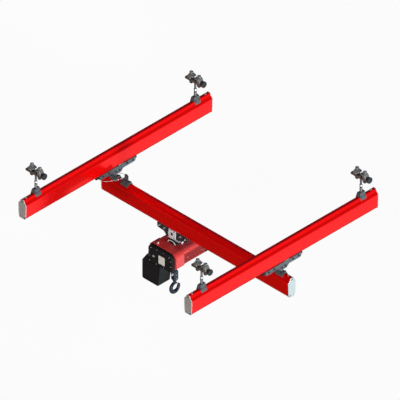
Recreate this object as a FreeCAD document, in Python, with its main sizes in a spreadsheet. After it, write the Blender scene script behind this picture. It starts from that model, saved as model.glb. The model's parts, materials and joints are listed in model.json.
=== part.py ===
"""Suspended overhead bridge crane: two runway rails on four hangers, a bridge and an electric chain hoist.

X runs along the bridge, Y along the runways and Z up, in millimetres. The origin is on the seat of the
front left hanger, where the building's beam rests on it, so the whole crane hangs below z = 0.
"""
import FreeCAD, Part
import math
import os
import re

import Sketcher
from FreeCAD import Placement, Rotation, Vector

SIZES = {
    # layout
    "gauge": 2048,
    "hanger_pitch": 1970,
    "runway_overhang": 170,
    "bridge_overhang": 135,
    "rail_drop": 224,
    "bridge_drop": 125,
    "hoist_offset": -293,
    # the rail section, the same for the runways and the bridge
    "rail_tall": 196,
    "rail_wide": 92,
    "rail_foot": 64,
    "rail_crown": 30,
    "neck_wide_at": 56,
    "neck_up": 170,
    "shoulder_up": 148,
    "belly_up": 68,
    "belly_taper": 2,
    "heel_up": 20,
    "heel_taper": 5,
    "rail_wall": 4,
    "rail_slot": 22,
    "shoulder_round": 12,
    "foot_round": 8,
    "crown_round": 5,
    "cap_thick": 6,
    "cap_lip": 2,
    # end stops, whose stem goes through the slot
    "stop_inset": 107,
    "stop_long": 80,
    "stop_tall": 58,
    "stop_wide": 48,
    "stop_shoe": 44,
    "stop_shoe_thick": 8,
    "stem_long": 60,
    "slot_play": 1,
    # hangers
    "plate_left": 105,
    "plate_right": 89,
    "plate_wide": 50,
    "plate_thick": 20,
    "pad_rise": 10,
    "pad_wide": 20,
    "claw_gap": 75,
    "claw_thick": 40,
    "claw_wide": 52,
    "claw_tall": 48,
    "claw_reach": 28,
    "claw_throat": 16,
    "nose_tall": 14,
    "claw_round": 8,
    "claw_waist": 14,
    "claw_slope": 16,
    "stud_at": 48,
    "stud_wide": 12,
    "stud_tall": 62,
    "washer_wide": 40,
    "washer_thick": 3,
    "big_nut_wide": 38,
    "big_nut_tall": 17,
    "lower_nut_wide": 38,
    "lower_nut_tall": 28,
    "end_bolt_wide": 60,
    "end_bolt_long": 27,
    "end_bolt_low": 9,
    "lower_stud_low": 68,
    "rod_wide": 20,
    "nut_wide": 32,
    "nut_tall": 13,
    "barrel_wide": 26,
    "barrel_tall": 48,
    "sleeve_wide": 28,
    "sleeve_tall": 16,
    "sleeve_gap": 2,
    "clamp_long": 64,
    "bridge_clamp_long": 88,
    "clamp_over": 20,
    "hanger_clamp_over": 47,
    "clamp_top": 32,
    "clamp_wrap": 24,
    "clamp_wall": 8,
    "clamp_round": 6,
    # end carriages
    "carriage_long": 440,
    "cheek_gap": 48,
    "cheek_thick": 5,
    "cheek_lift": 8,
    "cheek_low": 54,
    "cheek_round": 22,
    "yoke_long": 75,
    "yoke_low": 84,
    "yoke_slope": 30,
    "core_tall": 50,
    "truck_inset": 75,
    "truck_long": 96,
    "truck_thick": 12,
    "truck_up": 46,
    "truck_low": 40,
    "spacer_tall": 20,
    "axle_wide": 12,
    "wheel_wide": 56,
    "wheel_thick": 12,
    "wheel_gap": 24,
    "wheel_pitch": 62,
    "wheel_play": 0.5,
    "buffer_wide": 34,
    "buffer_long": 25,
    "buffer_low": 31,
    "ball_nut_wide": 40,
    "anchor_inboard": 136,
    "anchor_rise": 85,
    "anchor_thick": 6,
    "anchor_wide": 44,
    "rope_wide": 4.5,
    "ferrule_wide": 12,
    "ferrule_long": 14,
    "ferrule_up": 70,
    "boss_wide": 14,
    "boss_long": 18,
    "boss_tall": 18,
    "boss_low": 96,
    # hoist trolley
    "trolley_long": 374,
    "trolley_gap": 50,
    "trolley_thick": 5,
    "trolley_lift": 5,
    "trolley_end_low": 53,
    "trolley_mid_low": 62,
    "trolley_mid_long": 210,
    "trolley_low": 98,
    "trolley_waist": 136,
    "trolley_round": 16,
    "truck_ends": 10,
    "link_wide": 86,
    "link_top": 2,
    "link_low": 82,
    "link_thick": 8,
    "link_hole": 30,
    "link_round": 6,
    "flange_right": 92,
    "flange_deep": 14,
    "pin_low": 106,
    "pin_wide": 18,
    "pin_long": 180,
    "pin_head_wide": 26,
    "pin_head_long": 8,
    "pin_play": 0.1,
    "lug_thick": 30,
    "lug_wide": 34,
    # hoist, below the underside of the bridge
    "hoist_top": 136,
    "hoist_wide": 330,
    "hoist_left": 160,
    "hoist_tall": 153,
    "hoist_round": 46,
    "hoist_corner": 14,
    "cover_front": 182,
    "gear_front": 149,
    "gear_back": 51,
    "motor_back": 214,
    "hoist_back": 289,
    "hoist_shell": 5,
    "chain_room": 44,
    "room_roof": 6,
    "motor_inset": 10,
    "rib_deep": 7,
    "rib_low": 52,
    "rib_tall": 12,
    "rib_pitch": 34,
    "cover_inset": 10,
    "cover_top": 141,
    "cover_low": 327,
    "cover_round": 50,
    "cover_bevel": 6,
    "back_round": 18,
    "eye_base_wide": 104,
    "eye_base_deep": 74,
    "eye_base_thick": 6,
    "eye_gap": 44,
    "eye_thick": 12,
    "eye_deep": 36,
    "arch_wide": 94,
    "arch_thick": 8,
    "arch_leg": 18,
    "arch_at": 33,
    "arch_up": 26,
    "plate_face_wide": 74,
    "plate_face_tall": 85,
    "plate_face_thick": 1.5,
    "plate_face_right": 20,
    "plate_face_low": 245,
    "top_bolt_left": 81,
    "top_bolt_wide": 22,
    "top_bolt_tall": 14,
    # chain container
    "box_left": 219,
    "box_right": 27,
    "box_back": 34,
    "box_low": 541,
    "box_shoulder": 345,
    "box_wall": 3,
    "box_flare": 2,
    "box_peak": 261,
    "box_play": 1,
    "bracket_wide": 30,
    "bracket_thick": 4,
    "bracket_tall": 78,
    # hook block, hook and chain
    "block_top": 445,
    "block_tall": 102,
    "block_wide": 50,
    "block_deep": 40,
    "block_round": 14,
    "block_mouth": 26,
    "block_mouth_deep": 24,
    "block_pin_proud": 2,
    "hook_tall": 144,
    "hook_wide": 125,
    "hook_neck": 28,
    "hook_sweep": 280,
    "collar_wide": 38,
    "collar_tall": 8,
    "swivel_play": 0.5,
    "latch_wide": 12,
    "latch_thick": 3,
    "latch_long": 26,
    "latch_out": 20,
    "latch_down": 6,
    "latch_barrel": 8,
    "latch_pin": 4,
    "latch_play": 0.1,
    "ear_thick": 3,
    "ear_gap": 13,
    "ear_wide": 10,
    "chain_wire": 5,
    "chain_pitch": 15,
    "chain_inner": 7,
    "chain_room_up": 80,
}

WORDS = re.compile(r"[a-z]+(?:_[a-z]+)*")
ALONG_X = Rotation(Vector(0, 1, 0), 90)
ALONG_Y = Rotation(Vector(1, 0, 0), -90)
QUARTER = Rotation(Vector(0, 0, 1), 90)
SNAP = 0.01
ARC_SHARE = 0.45
LATCH_LEAN = 35
SIDES = (("left", -1), ("right", 1))
ENDS = (("front", -1), ("back", 1))

RAIL_TOP = "-rail_drop"
RAIL_LOW = "-rail_drop - rail_tall"
BRIDGE_TOP = "-rail_drop - rail_tall - bridge_drop"
BRIDGE_LOW = "-rail_drop - 2*rail_tall - bridge_drop"
MIDDLE_Y = "hanger_pitch/2"
HOIST_X = "gauge/2 + hoist_offset"
RUNWAY_LONG = "(hanger_pitch + 2*runway_overhang)"
BRIDGE_LONG = "(gauge + 2*bridge_overhang)"
AXLE_UP = "rail_wall + wheel_wide/2 + wheel_play"
WHEEL_SPAN = "wheel_gap + 2*wheel_thick"
HOIST_LOW = "-hoist_top - hoist_tall"
HOIST_MID = "(hoist_wide/2 - hoist_left)"

doc = FreeCAD.newDocument("BridgeCrane")
sheet = doc.addObject("Spreadsheet::Sheet", "dim")
for row, (alias, value) in enumerate(SIZES.items(), start=1):
    sheet.set(f"A{row}", alias)
    sheet.set(f"B{row}", str(value))
    sheet.setAlias(f"B{row}", alias)
doc.recompute()

nodes = []


def bound(formula):
    """A formula in the sheet's words, as an expression that refers to its cells."""
    return WORDS.sub(lambda word: "dim." + word.group() if word.group() in SIZES else word.group(), formula)


def value_of(formula):
    """What a formula comes to with the sheet's present values."""
    return float(sheet.evalExpression(bound(formula)))


def bind(thing, **formulas):
    """Ties properties of an object to formulas."""
    for key, formula in formulas.items():
        thing.setExpression(key, bound(formula))
    return thing


def put(thing, x="0", y="0", z="0", turn=None):
    """Places an object by three formulas, turned by a fixed rotation."""
    thing.Placement = Placement(Vector(), turn or Rotation())
    for axis, formula in (("x", x), ("y", y), ("z", z)):
        thing.setExpression("Placement.Base." + axis, bound(formula))
    return thing


def block(name, wide, deep, tall, x="0", y="0", z="0"):
    """A block centred on x and y, standing on z."""
    made = doc.addObject("Part::Box", name)
    bind(made, Length=wide, Width=deep, Height=tall)
    return put(made, f"{x} - ({wide})/2", f"{y} - ({deep})/2", z)


def rod(name, diameter, length, x="0", y="0", z="0", turn=None):
    """A cylinder that starts at a point and runs up, or along the axis that the turn gives it."""
    made = doc.addObject("Part::Cylinder", name)
    bind(made, Radius=f"({diameter})/2", Height=length)
    return put(made, x, y, z, turn)


def hexagon(name, across, length, x="0", y="0", z="0", turn=None):
    """A hexagonal nut or bolt head, sized across its corners."""
    made = doc.addObject("Part::Prism", name)
    made.Polygon = 6
    bind(made, Circumradius=f"({across})/2", Height=length)
    return put(made, x, y, z, turn)


def fused(name, pieces):
    """One object made of several, in the frame of their own placements."""
    made = doc.addObject("Part::MultiFuse", name)
    made.Shapes = pieces
    return made


def cut(name, base, tool):
    """An object with another taken out of it."""
    made = doc.addObject("Part::Cut", name)
    made.Base = base
    made.Tool = tool
    return made


def node(made, label):
    """Names an object as a finished sub-part."""
    made.Label = label
    nodes.append(made)
    return made


def pin_point(sketch, edge, point, across, up):
    """Ties one point of a sketch to two formulas."""
    for kind, formula in (("DistanceX", across), ("DistanceY", up)):
        constraint = Sketcher.Constraint(kind, -1, 1, edge, point, value_of(formula))
        number = sketch.addConstraint(constraint)
        sketch.setExpression(f"Constraints[{number}]", bound(formula))


def draw(body, role, outline, holes=()):
    """A sketch of one closed outline of straight lines and of round holes, every point of it bound."""
    sketch = body.newObject("Sketcher::SketchObject", body.Name + "_sketch")
    plane = next(item for item in body.Origin.OriginFeatures if item.Role == role)
    sketch.AttachmentSupport = [(plane, "")]
    sketch.MapMode = "FlatFace"
    corners = [Vector(value_of(across), value_of(up), 0) for across, up in outline]
    for start, end in zip(corners, corners[1:] + corners[:1]):
        sketch.addGeometry(Part.LineSegment(start, end), False)
    for edge in range(len(corners)):
        sketch.addConstraint(Sketcher.Constraint("Coincident", edge, 2, (edge + 1) % len(corners), 1))
    for edge, (across, up) in enumerate(outline):
        pin_point(sketch, edge, 1, across, up)
    for across, up, diameter in holes:
        centre = Vector(value_of(across), value_of(up), 0)
        edge = sketch.addGeometry(Part.Circle(centre, Vector(0, 0, 1), value_of(diameter) / 2), False)
        pin_point(sketch, edge, 3, across, up)
        number = sketch.addConstraint(Sketcher.Constraint("Diameter", edge, value_of(diameter)))
        sketch.setExpression(f"Constraints[{number}]", bound(diameter))
    return sketch


def prism(name, role, outline, length, holes=(), rounds=()):
    """A body with one outline padded to both sides of an origin plane.

    Each entry of rounds is a radius and the corners of the outline that it softens.
    """
    body = doc.addObject("PartDesign::Body", name)
    sketch = draw(body, role, outline, holes)
    pad = body.newObject("PartDesign::Pad", name + "_pad")
    pad.Profile = sketch
    pad.Midplane = True
    pad.setExpression("Length", bound(length))
    doc.recompute()
    for number, (radius, corners) in enumerate(rounds):
        soften(body, f"{name}_round_{number}", role, radius, corners)
    return body


def soften(body, name, role, radius, corners):
    """Rounds the long edges of a prism that stand on some corners of its outline."""
    first, second = {"XZ_Plane": ("x", "z"), "YZ_Plane": ("y", "z"), "XY_Plane": ("x", "y")}[role]
    base = body.Tip
    wanted = [(value_of(across), value_of(up)) for across, up in corners]
    found = []
    for number, edge in enumerate(base.Shape.Edges, start=1):
        ends = [(getattr(tip.Point, first), getattr(tip.Point, second)) for tip in edge.Vertexes]
        if len(ends) < 2 or abs(ends[0][0] - ends[1][0]) + abs(ends[0][1] - ends[1][1]) > SNAP:
            continue
        if any(abs(ends[0][0] - across) + abs(ends[0][1] - up) < SNAP for across, up in wanted):
            found.append(f"Edge{number}")
    if len(found) != len(corners):
        raise RuntimeError(f"{name} found {len(found)} of its {len(corners)} edges")
    fillet = body.newObject("PartDesign::Fillet", name)
    fillet.Base = (base, found)
    fillet.setExpression("Radius", bound(radius))
    doc.recompute()


def mirrored(half):
    """A closed outline from its right half, listed from the top down."""
    return half + [(f"-({across})", up) for across, up in reversed(half)]


def both(corners):
    """Some corners of an outline and their mirror images."""
    return corners + [(f"-({across})", up) for across, up in corners]


def rail_outside(grow="0"):
    """The right half of a rail's outer outline, from the crown to the foot, grown by a lip."""
    return [
        (f"rail_crown/2 + {grow}/2", f"rail_tall + {grow}"),
        (f"neck_wide_at/2 + {grow}", f"neck_up + {grow}/2"),
        (f"rail_wide/2 + {grow}", f"shoulder_up + {grow}/2"),
        (f"rail_wide/2 - belly_taper + {grow}", "belly_up"),
        (f"rail_wide/2 - heel_taper + {grow}", "heel_up"),
        (f"rail_foot/2 + {grow}", f"-{grow}"),
    ]


def rail_section():
    """A hollow rail's right half: the outside, the lip beside the slot and the inside up to the crown."""
    inside = [
        ("rail_slot/2", "0"),
        ("rail_slot/2", "rail_wall"),
        ("rail_foot/2 - rail_wall", "rail_wall"),
        ("rail_wide/2 - heel_taper - rail_wall", "heel_up"),
        ("rail_wide/2 - belly_taper - rail_wall", "belly_up"),
        ("rail_wide/2 - rail_wall", "shoulder_up - rail_wall/2"),
        ("neck_wide_at/2 - rail_wall", "neck_up - rail_wall/2"),
        ("rail_crown/2 - rail_wall/2", "rail_tall - rail_wall"),
    ]
    return rail_outside() + inside


def rail(name, role, length):
    """A rail along X or Y, centred, with its underside on z = 0."""
    half = rail_section()
    rounds = [
        ("crown_round", both([half[0]])),
        ("shoulder_round", both([half[2]])),
        ("shoulder_round - rail_wall", both([half[11]])),
        ("foot_round", both([half[5]])),
        ("foot_round - rail_wall", both([half[8]])),
    ]
    return prism(name, role, mirrored(half), f"{length} - 2*cap_thick", rounds=rounds)


def end_cap(name, role):
    """The cap that closes one end of a rail, a little proud of it all round."""
    half = rail_outside("cap_lip")
    rounds = [
        ("crown_round", both([half[0]])),
        ("shoulder_round", both([half[2]])),
        ("foot_round", both([half[5]])),
    ]
    return prism(name, role, mirrored(half), "cap_thick", rounds=rounds)


def end_stop(name):
    """A stop along X: a block inside the rail, a stem through the slot and a shoe below."""
    inner = block(name + "_block", "stop_long", "stop_wide", "stop_tall", z="rail_wall")
    stem = block(name + "_stem", "stem_long", "rail_slot - slot_play", "rail_wall + stop_shoe_thick",
                 z="-stop_shoe_thick/2")
    shoe = block(name + "_shoe", "stop_long", "stop_shoe", "stop_shoe_thick", z="-stop_shoe_thick")
    return fused(name, [inner, stem, shoe])


def runways():
    """The two runway rails with their caps and end stops."""
    caps = []
    stops = []
    for side, sign in SIDES:
        middle = "0" if sign < 0 else "gauge"
        made = rail(f"runway_{side}", "XZ_Plane", RUNWAY_LONG)
        node(put(made, middle, MIDDLE_Y, RAIL_LOW), f"runway_{side}")
        for end, way in ENDS:
            at_end = f"{MIDDLE_Y} + {way}*({RUNWAY_LONG} - cap_thick)/2"
            cap = end_cap(f"runway_cap_{side}_{end}", "XZ_Plane")
            caps.append(put(cap, middle, at_end, RAIL_LOW))
            at_stop = f"{MIDDLE_Y} + {way}*({RUNWAY_LONG}/2 - stop_inset)"
            stop = end_stop(f"runway_stop_{side}_{end}")
            stops.append(put(stop, middle, at_stop, RAIL_LOW, QUARTER))
    node(fused("runway_end_caps", caps), "runway_end_caps")
    node(fused("runway_end_stops", stops), "runway_end_stops")


def bridge():
    """The bridge rail with its caps and end stops."""
    girder = rail("bridge_girder", "YZ_Plane", BRIDGE_LONG)
    node(put(girder, "gauge/2", MIDDLE_Y, BRIDGE_LOW), "bridge_girder")
    caps = []
    stops = []
    for side, sign in SIDES:
        cap = end_cap(f"bridge_cap_{side}", "YZ_Plane")
        caps.append(put(cap, f"{sign}*({BRIDGE_LONG} - cap_thick)/2"))
        stop = end_stop(f"bridge_stop_{side}")
        stops.append(put(stop, f"{sign}*({BRIDGE_LONG}/2 - stop_inset)"))
    node(put(fused("bridge_end_caps", caps), "gauge/2", MIDDLE_Y, BRIDGE_LOW), "bridge_end_caps")
    node(put(fused("bridge_end_stops", stops), "gauge/2", MIDDLE_Y, BRIDGE_LOW), "bridge_end_stops")


def beam_plate(name):
    """The plate under the building's beam, with a raised seat and a bolt head at its right end."""
    plate = block(
        name + "_flat", "plate_left + plate_right", "plate_wide", "plate_thick",
        x="(plate_right - plate_left)/2", z="-pad_rise - plate_thick",
    )
    pad = block(name + "_seat", "pad_wide", "plate_wide", "pad_rise", z="-pad_rise")
    bolt = hexagon(
        name + "_bolt", "end_bolt_wide", "end_bolt_long + 1",
        x="plate_right - 1", z="-end_bolt_low", turn=ALONG_X,
    )
    return fused(name, [plate, pad, bolt])


def claw(name, sign):
    """One claw that grips the edge of a beam flange, with its stud, nuts and washer.

    Gives the claw's own pieces in one list and those under the plate in another.
    """
    inner = "claw_gap/2"
    outer = "claw_gap/2 + claw_thick"
    nose = f"{sign}*({inner} - claw_reach)"
    top = "claw_tall - pad_rise"
    outline = [
        (f"{sign}*({inner})", "-pad_rise"),
        (f"{sign}*({outer})", "-pad_rise"),
        (f"{sign}*({outer})", "claw_waist"),
        (f"{sign}*({outer} - claw_slope)", top),
        (f"{sign}*({inner})", top),
        (nose, "claw_throat + nose_tall"),
        (nose, "claw_throat"),
        (f"{sign}*({inner})", "claw_throat"),
    ]
    jaw = prism(name + "_jaw", "XZ_Plane", outline, "claw_wide", rounds=[("claw_round", outline[2:4])])
    at = f"{sign}*stud_at"
    washer = rod(name + "_washer", "washer_wide", "washer_thick + 1", x=at, z=f"{top} - 1")
    nut = hexagon(name + "_nut", "big_nut_wide", "big_nut_tall", x=at, z=f"{top} + washer_thick")
    stud = rod(name + "_stud", "stud_wide", f"stud_tall - ({top})", x=at, z=top)
    under = "-pad_rise - plate_thick - lower_nut_tall"
    lower = [
        hexagon(name + "_lower", "lower_nut_wide", "lower_nut_tall", x=at, z=under),
        rod(name + "_lower_stud", "stud_wide", f"lower_stud_low + {under}", x=at, z="-lower_stud_low"),
    ]
    return [jaw, washer, nut, stud], lower


def hanger_rod(name):
    """The threaded rod from the plate down to the rail clamp, with its nut, sleeve and barrel."""
    top = "-pad_rise - plate_thick"
    low = f"{RAIL_TOP} + hanger_clamp_over"
    bar = rod(name + "_bar", "rod_wide", f"({top}) - ({low})", z=low)
    upper = hexagon(name + "_upper", "nut_wide", "nut_tall", z=f"{top} - nut_tall")
    barrel = rod(name + "_barrel", "barrel_wide", "barrel_tall", z=low)
    sleeve = rod(name + "_sleeve", "sleeve_wide", "sleeve_tall", z=f"{low} + barrel_tall + sleeve_gap")
    return fused(name, [bar, upper, barrel, sleeve])


def saddle(name, role, length, over):
    """A clamp that straddles the crown of a rail and grips its flanks, with the crown on z = 0."""
    flank = "(neck_wide_at - rail_crown)/2*clamp_wrap/(rail_tall - neck_up)"
    half = [
        ("clamp_top/2", over),
        (f"rail_crown/2 + {flank} + clamp_wall", "-clamp_wrap + clamp_wall"),
        (f"rail_crown/2 + {flank} + clamp_wall", "-clamp_wrap"),
        (f"rail_crown/2 + {flank}", "-clamp_wrap"),
        ("rail_crown/2", "0"),
    ]
    return prism(name, role, mirrored(half), length, rounds=[("clamp_round", both([half[0]]))])


def hangers():
    """Four hangers: plate and claws on the beam, rod, and clamp on the runway."""
    rods = []
    clamps = []
    for end, way in ENDS:
        for side, sign in SIDES:
            x = "0" if sign < 0 else "gauge"
            y = "0" if way < 0 else "hanger_pitch"
            where = f"{end}_{side}"
            left_claw, left_nuts = claw(f"claw_{where}_left", -1)
            right_claw, right_nuts = claw(f"claw_{where}_right", 1)
            plate = fused(f"plate_{where}", [beam_plate(f"bare_plate_{where}")] + left_nuts + right_nuts)
            node(put(plate, x, y), f"beam_plate_{where}")
            claws = fused(f"beam_claws_{where}", left_claw + right_claw)
            node(put(claws, x, y), f"beam_claws_{where}")
            rods.append(put(hanger_rod(f"hanger_rod_{where}"), x, y))
            clamp = saddle(f"rail_clamp_{where}", "XZ_Plane", "clamp_long", "hanger_clamp_over")
            clamps.append(put(clamp, x, y, RAIL_TOP))
    node(fused("hanger_rods", rods), "hanger_rods")
    node(fused("rail_clamps", clamps), "rail_clamps")


def carriage_beam(name):
    """The beam of an end carriage: two cheek plates, a core at the middle and a buffer at each end."""
    half = [
        ("carriage_long/2", "-cheek_lift"),
        ("carriage_long/2", "-cheek_low"),
        ("yoke_long/2 + yoke_slope", "-cheek_low"),
        ("yoke_long/2", "-yoke_low"),
    ]
    pieces = []
    for which, sign in SIDES:
        cheek = prism(
            f"{name}_cheek_{which}", "YZ_Plane", mirrored(half), "cheek_thick",
            rounds=[("cheek_round", both([half[1]]))],
        )
        pieces.append(put(cheek, f"{sign}*(cheek_gap + cheek_thick)/2"))
    pieces.append(block(name + "_core", "cheek_gap", "yoke_long", "core_tall", z="-yoke_low"))
    for end, way in ENDS:
        inset = f"{way}*(carriage_long/2 - cheek_thick/2)"
        pieces.append(block(
            f"{name}_end_{end}", "cheek_gap", "cheek_thick", "buffer_wide",
            y=inset, z="-buffer_low - buffer_wide/2",
        ))
    pieces.append(block(
        name + "_boss", "boss_wide", "boss_long", "boss_tall",
        y="-carriage_long/2 + cheek_thick + boss_long/2", z="boss_low - bridge_drop",
    ))
    return fused(name, pieces)


def buffers(name):
    """The rubber buffers at the two ends of a carriage."""
    pieces = []
    for end, way in ENDS:
        start = "carriage_long/2" if way > 0 else "-carriage_long/2 - buffer_long"
        pieces.append(rod(
            f"{name}_{end}", "buffer_wide", "buffer_long", y=start, z="-buffer_low", turn=ALONG_Y,
        ))
    return fused(name, pieces)


def trucks(name, along_x, reach):
    """Two webs through the slot of a rail with their axles and wheels, along X or Y.

    Gives the webs, spacers and axles in one list and the wheels in another.
    """
    steel = []
    wheels = []
    for end, way in ENDS:
        at = f"{way}*({reach})"
        for which, formula, size in (
            ("web", "truck_up + truck_low", ("truck_long", "truck_thick")),
            ("spacer", "spacer_tall", ("truck_long/2", "cheek_gap")),
        ):
            piece_name = f"{name}_{which}_{end}"
            if along_x:
                steel.append(block(piece_name, size[0], size[1], formula, x=at, z="-truck_low"))
            else:
                steel.append(block(piece_name, size[1], size[0], formula, y=at, z="-truck_low"))
        for step in (-1, 1):
            row = f"{at} + {step}*wheel_pitch/2"
            number = f"{end}_{step + 2}"
            steel.append(crosswise(f"{name}_axle_{number}", "axle_wide", WHEEL_SPAN,
                                   row, f"-({WHEEL_SPAN})/2", along_x))
            for side, sign in SIDES:
                start = "wheel_gap/2" if sign > 0 else "-wheel_gap/2 - wheel_thick"
                tread = crosswise(f"{name}_tread_{number}_{side}", "wheel_wide", "wheel_thick",
                                  row, start, along_x)
                bore = crosswise(f"{name}_bore_{number}_{side}", "axle_wide", "wheel_thick",
                                 row, start, along_x)
                wheels.append(cut(f"{name}_wheel_{number}_{side}", tread, bore))
    return steel, wheels


def crosswise(name, diameter, length, along, start, along_x):
    """A cylinder at axle height across a rail that runs along X or Y."""
    if along_x:
        return rod(name, diameter, length, x=along, y=start, z=AXLE_UP, turn=ALONG_Y)
    return rod(name, diameter, length, x=start, y=along, z=AXLE_UP, turn=ALONG_X)


def carriage(side, x):
    """One end carriage with its hanger, the clamp on the bridge and the anchor of the safety rope."""
    y = MIDDLE_Y
    node(put(carriage_beam(f"carriage_beam_{side}"), x, y, RAIL_LOW), f"carriage_beam_{side}")
    node(put(buffers(f"carriage_buffers_{side}"), x, y, RAIL_LOW), f"carriage_buffers_{side}")
    steel, wheels = trucks(f"carriage_{side}", False, "carriage_long/2 - truck_inset")
    node(put(fused(f"carriage_trucks_{side}", steel), x, y, RAIL_LOW), f"carriage_trucks_{side}")
    node(put(fused(f"carriage_wheels_{side}", wheels), x, y, RAIL_LOW), f"carriage_wheels_{side}")
    gap = "bridge_drop - yoke_low - clamp_over"
    stem = rod(f"bridge_hanger_{side}_stem", "rod_wide", gap, z="clamp_over")
    nut = hexagon(f"bridge_hanger_{side}_nut", "ball_nut_wide", f"({gap})*2/3", z="clamp_over")
    node(put(fused(f"bridge_hanger_{side}", [stem, nut]), x, y, BRIDGE_TOP), f"bridge_hanger_{side}")
    clamp = saddle(f"bridge_clamp_{side}", "YZ_Plane", "bridge_clamp_long", "clamp_over")
    node(put(clamp, x, y, BRIDGE_TOP), f"bridge_clamp_{side}")
    inboard = "anchor_inboard" if side == "left" else "-anchor_inboard"
    outline = [
        ("-anchor_wide/2", "clamp_over - 1"),
        ("anchor_wide/2", "clamp_over - 1"),
        ("anchor_wide/2", "anchor_rise - anchor_wide/4"),
        ("anchor_wide/4", "anchor_rise"),
        ("-anchor_wide/4", "anchor_rise"),
        ("-anchor_wide/2", "anchor_rise - anchor_wide/4"),
    ]
    upright = prism(f"rope_anchor_{side}_upright", "XZ_Plane", outline, "anchor_thick")
    ferrule = rod(
        f"rope_anchor_{side}_ferrule", "ferrule_wide", "ferrule_long",
        y="-anchor_thick/2 - ferrule_long", z="ferrule_up", turn=ALONG_Y,
    )
    seat = saddle(f"rope_anchor_{side}_seat", "YZ_Plane", "bridge_clamp_long", "clamp_over")
    anchor = fused(f"rope_anchor_{side}", [seat, upright, ferrule])
    node(put(anchor, f"{x} + {inboard}", y, BRIDGE_TOP), f"rope_anchor_{side}")


def safety_ropes(side, x):
    """The long rope from a carriage's front end to the anchor, and the short one from its middle."""
    sign = "" if side == "left" else "-"
    face = "-anchor_thick/2 - ferrule_long"
    front = "-carriage_long/2 + cheek_thick + boss_long/2"
    long_route = [
        ("0", front, "boss_low"),
        ("0", front, "boss_low - 22"),
        ("18", f"{front} + 4", "boss_low - 40"),
        ("48", f"{front} + 18", "boss_low - 38"),
        ("80", f"{front} + 50", "boss_low - 36"),
        ("anchor_inboard - 31", "-112", "ferrule_up - 8"),
        ("anchor_inboard - 6", "-72", "ferrule_up - 3"),
        ("anchor_inboard", f"{face} - 24", "ferrule_up"),
        ("anchor_inboard", face, "ferrule_up"),
    ]
    low = "bridge_drop - yoke_low + 12"
    high = "ferrule_up + 2"
    short_route = [
        ("cheek_gap/2 + cheek_thick", "0", low),
        ("cheek_gap/2 + cheek_thick + 22", "0", low),
        ("anchor_inboard - anchor_wide/2 - 31", "0", high),
        ("anchor_inboard - anchor_wide/2", "0", high),
    ]
    for which, route in (("rope", long_route), ("loop", short_route)):
        points = [(f"{x} + {sign}({across})", f"{MIDDLE_Y} + {along}", f"{BRIDGE_TOP} + {up}")
                  for across, along, up in route]
        cord(f"safety_{which}_{side}", points)


def cord(name, route):
    """A free rope of straight runs joined by tangent arcs, each as large as its two runs allow."""
    points = [Vector(*(value_of(formula) for formula in point)) for point in route]
    edges = []
    start = points[0]
    radii = []
    for before, corner, after in zip(points, points[1:], points[2:]):
        come = (corner - before).normalize()
        leave = (after - corner).normalize()
        turn = come.getAngle(leave)
        reach = ARC_SHARE * min(before.distanceToPoint(corner), corner.distanceToPoint(after))
        radii.append(reach / math.tan(turn / 2))
        first = corner - come * reach
        last = corner + leave * reach
        sag = radii[-1] * (1 / math.cos(turn / 2) - 1)
        middle = corner + (leave - come).normalize() * sag
        edges.append(Part.LineSegment(start, first).toShape())
        edges.append(Part.Arc(first, middle, last).toShape())
        start = last
    edges.append(Part.LineSegment(start, points[-1]).toShape())
    path = Part.Wire(edges)
    thickness = value_of("rope_wide")
    circle = Part.Circle(points[0], points[1] - points[0], thickness / 2).toShape()
    tube = path.makePipeShell([Part.Wire([circle])], True, True)
    section = math.pi * thickness ** 2 / 4
    if abs(tube.Volume / (section * path.Length) - 1) > 0.01:
        raise RuntimeError(f"{name} has the wrong volume")
    made = doc.addObject("Part::Feature", name)
    made.Shape = tube
    made.Placement = Placement()
    print(name, "length", round(path.Length), "radii", [round(radius) for radius in radii])
    node(made, name)


def trolley():
    """The hoist trolley: side plates below the slot, webs and axles in it, and the lug for the hoist."""
    half = [
        ("trolley_long/2", "-trolley_lift"),
        ("trolley_long/2", "-trolley_end_low"),
        ("trolley_mid_long/2", "-trolley_mid_low"),
        ("trolley_waist/2", "-trolley_low"),
    ]
    steel, wheels = trucks("trolley", True, "(trolley_long - truck_long)/2 - truck_ends")
    for which, sign in ENDS:
        plate = prism(
            f"trolley_side_{which}", "XZ_Plane", mirrored(half), "trolley_thick",
            rounds=[("trolley_round", both([half[1]]))],
        )
        steel.append(put(plate, y=f"{sign}*(trolley_gap + trolley_thick)/2"))
    steel.append(block(
        "trolley_tie", "trolley_waist", "trolley_gap", "spacer_tall", z="-truck_low - spacer_tall",
    ))
    steel.append(block(
        "trolley_lug", "lug_thick", "lug_wide", "pin_low - truck_low", z="-pin_low",
    ))
    steel.append(rod(
        "trolley_lug_end", "lug_wide", "lug_thick", x="-lug_thick/2", z="-pin_low", turn=ALONG_X,
    ))
    hole = rod("trolley_pin_hole", "pin_wide", "pin_long", x="-pin_long/2", z="-pin_low", turn=ALONG_X)
    frame = cut("trolley_frame", fused("trolley_steel", steel), hole)
    node(put(frame, HOIST_X, MIDDLE_Y, BRIDGE_LOW), "trolley_frame")
    node(put(fused("trolley_wheels", wheels), HOIST_X, MIDDLE_Y, BRIDGE_LOW), "trolley_wheels")


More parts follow.
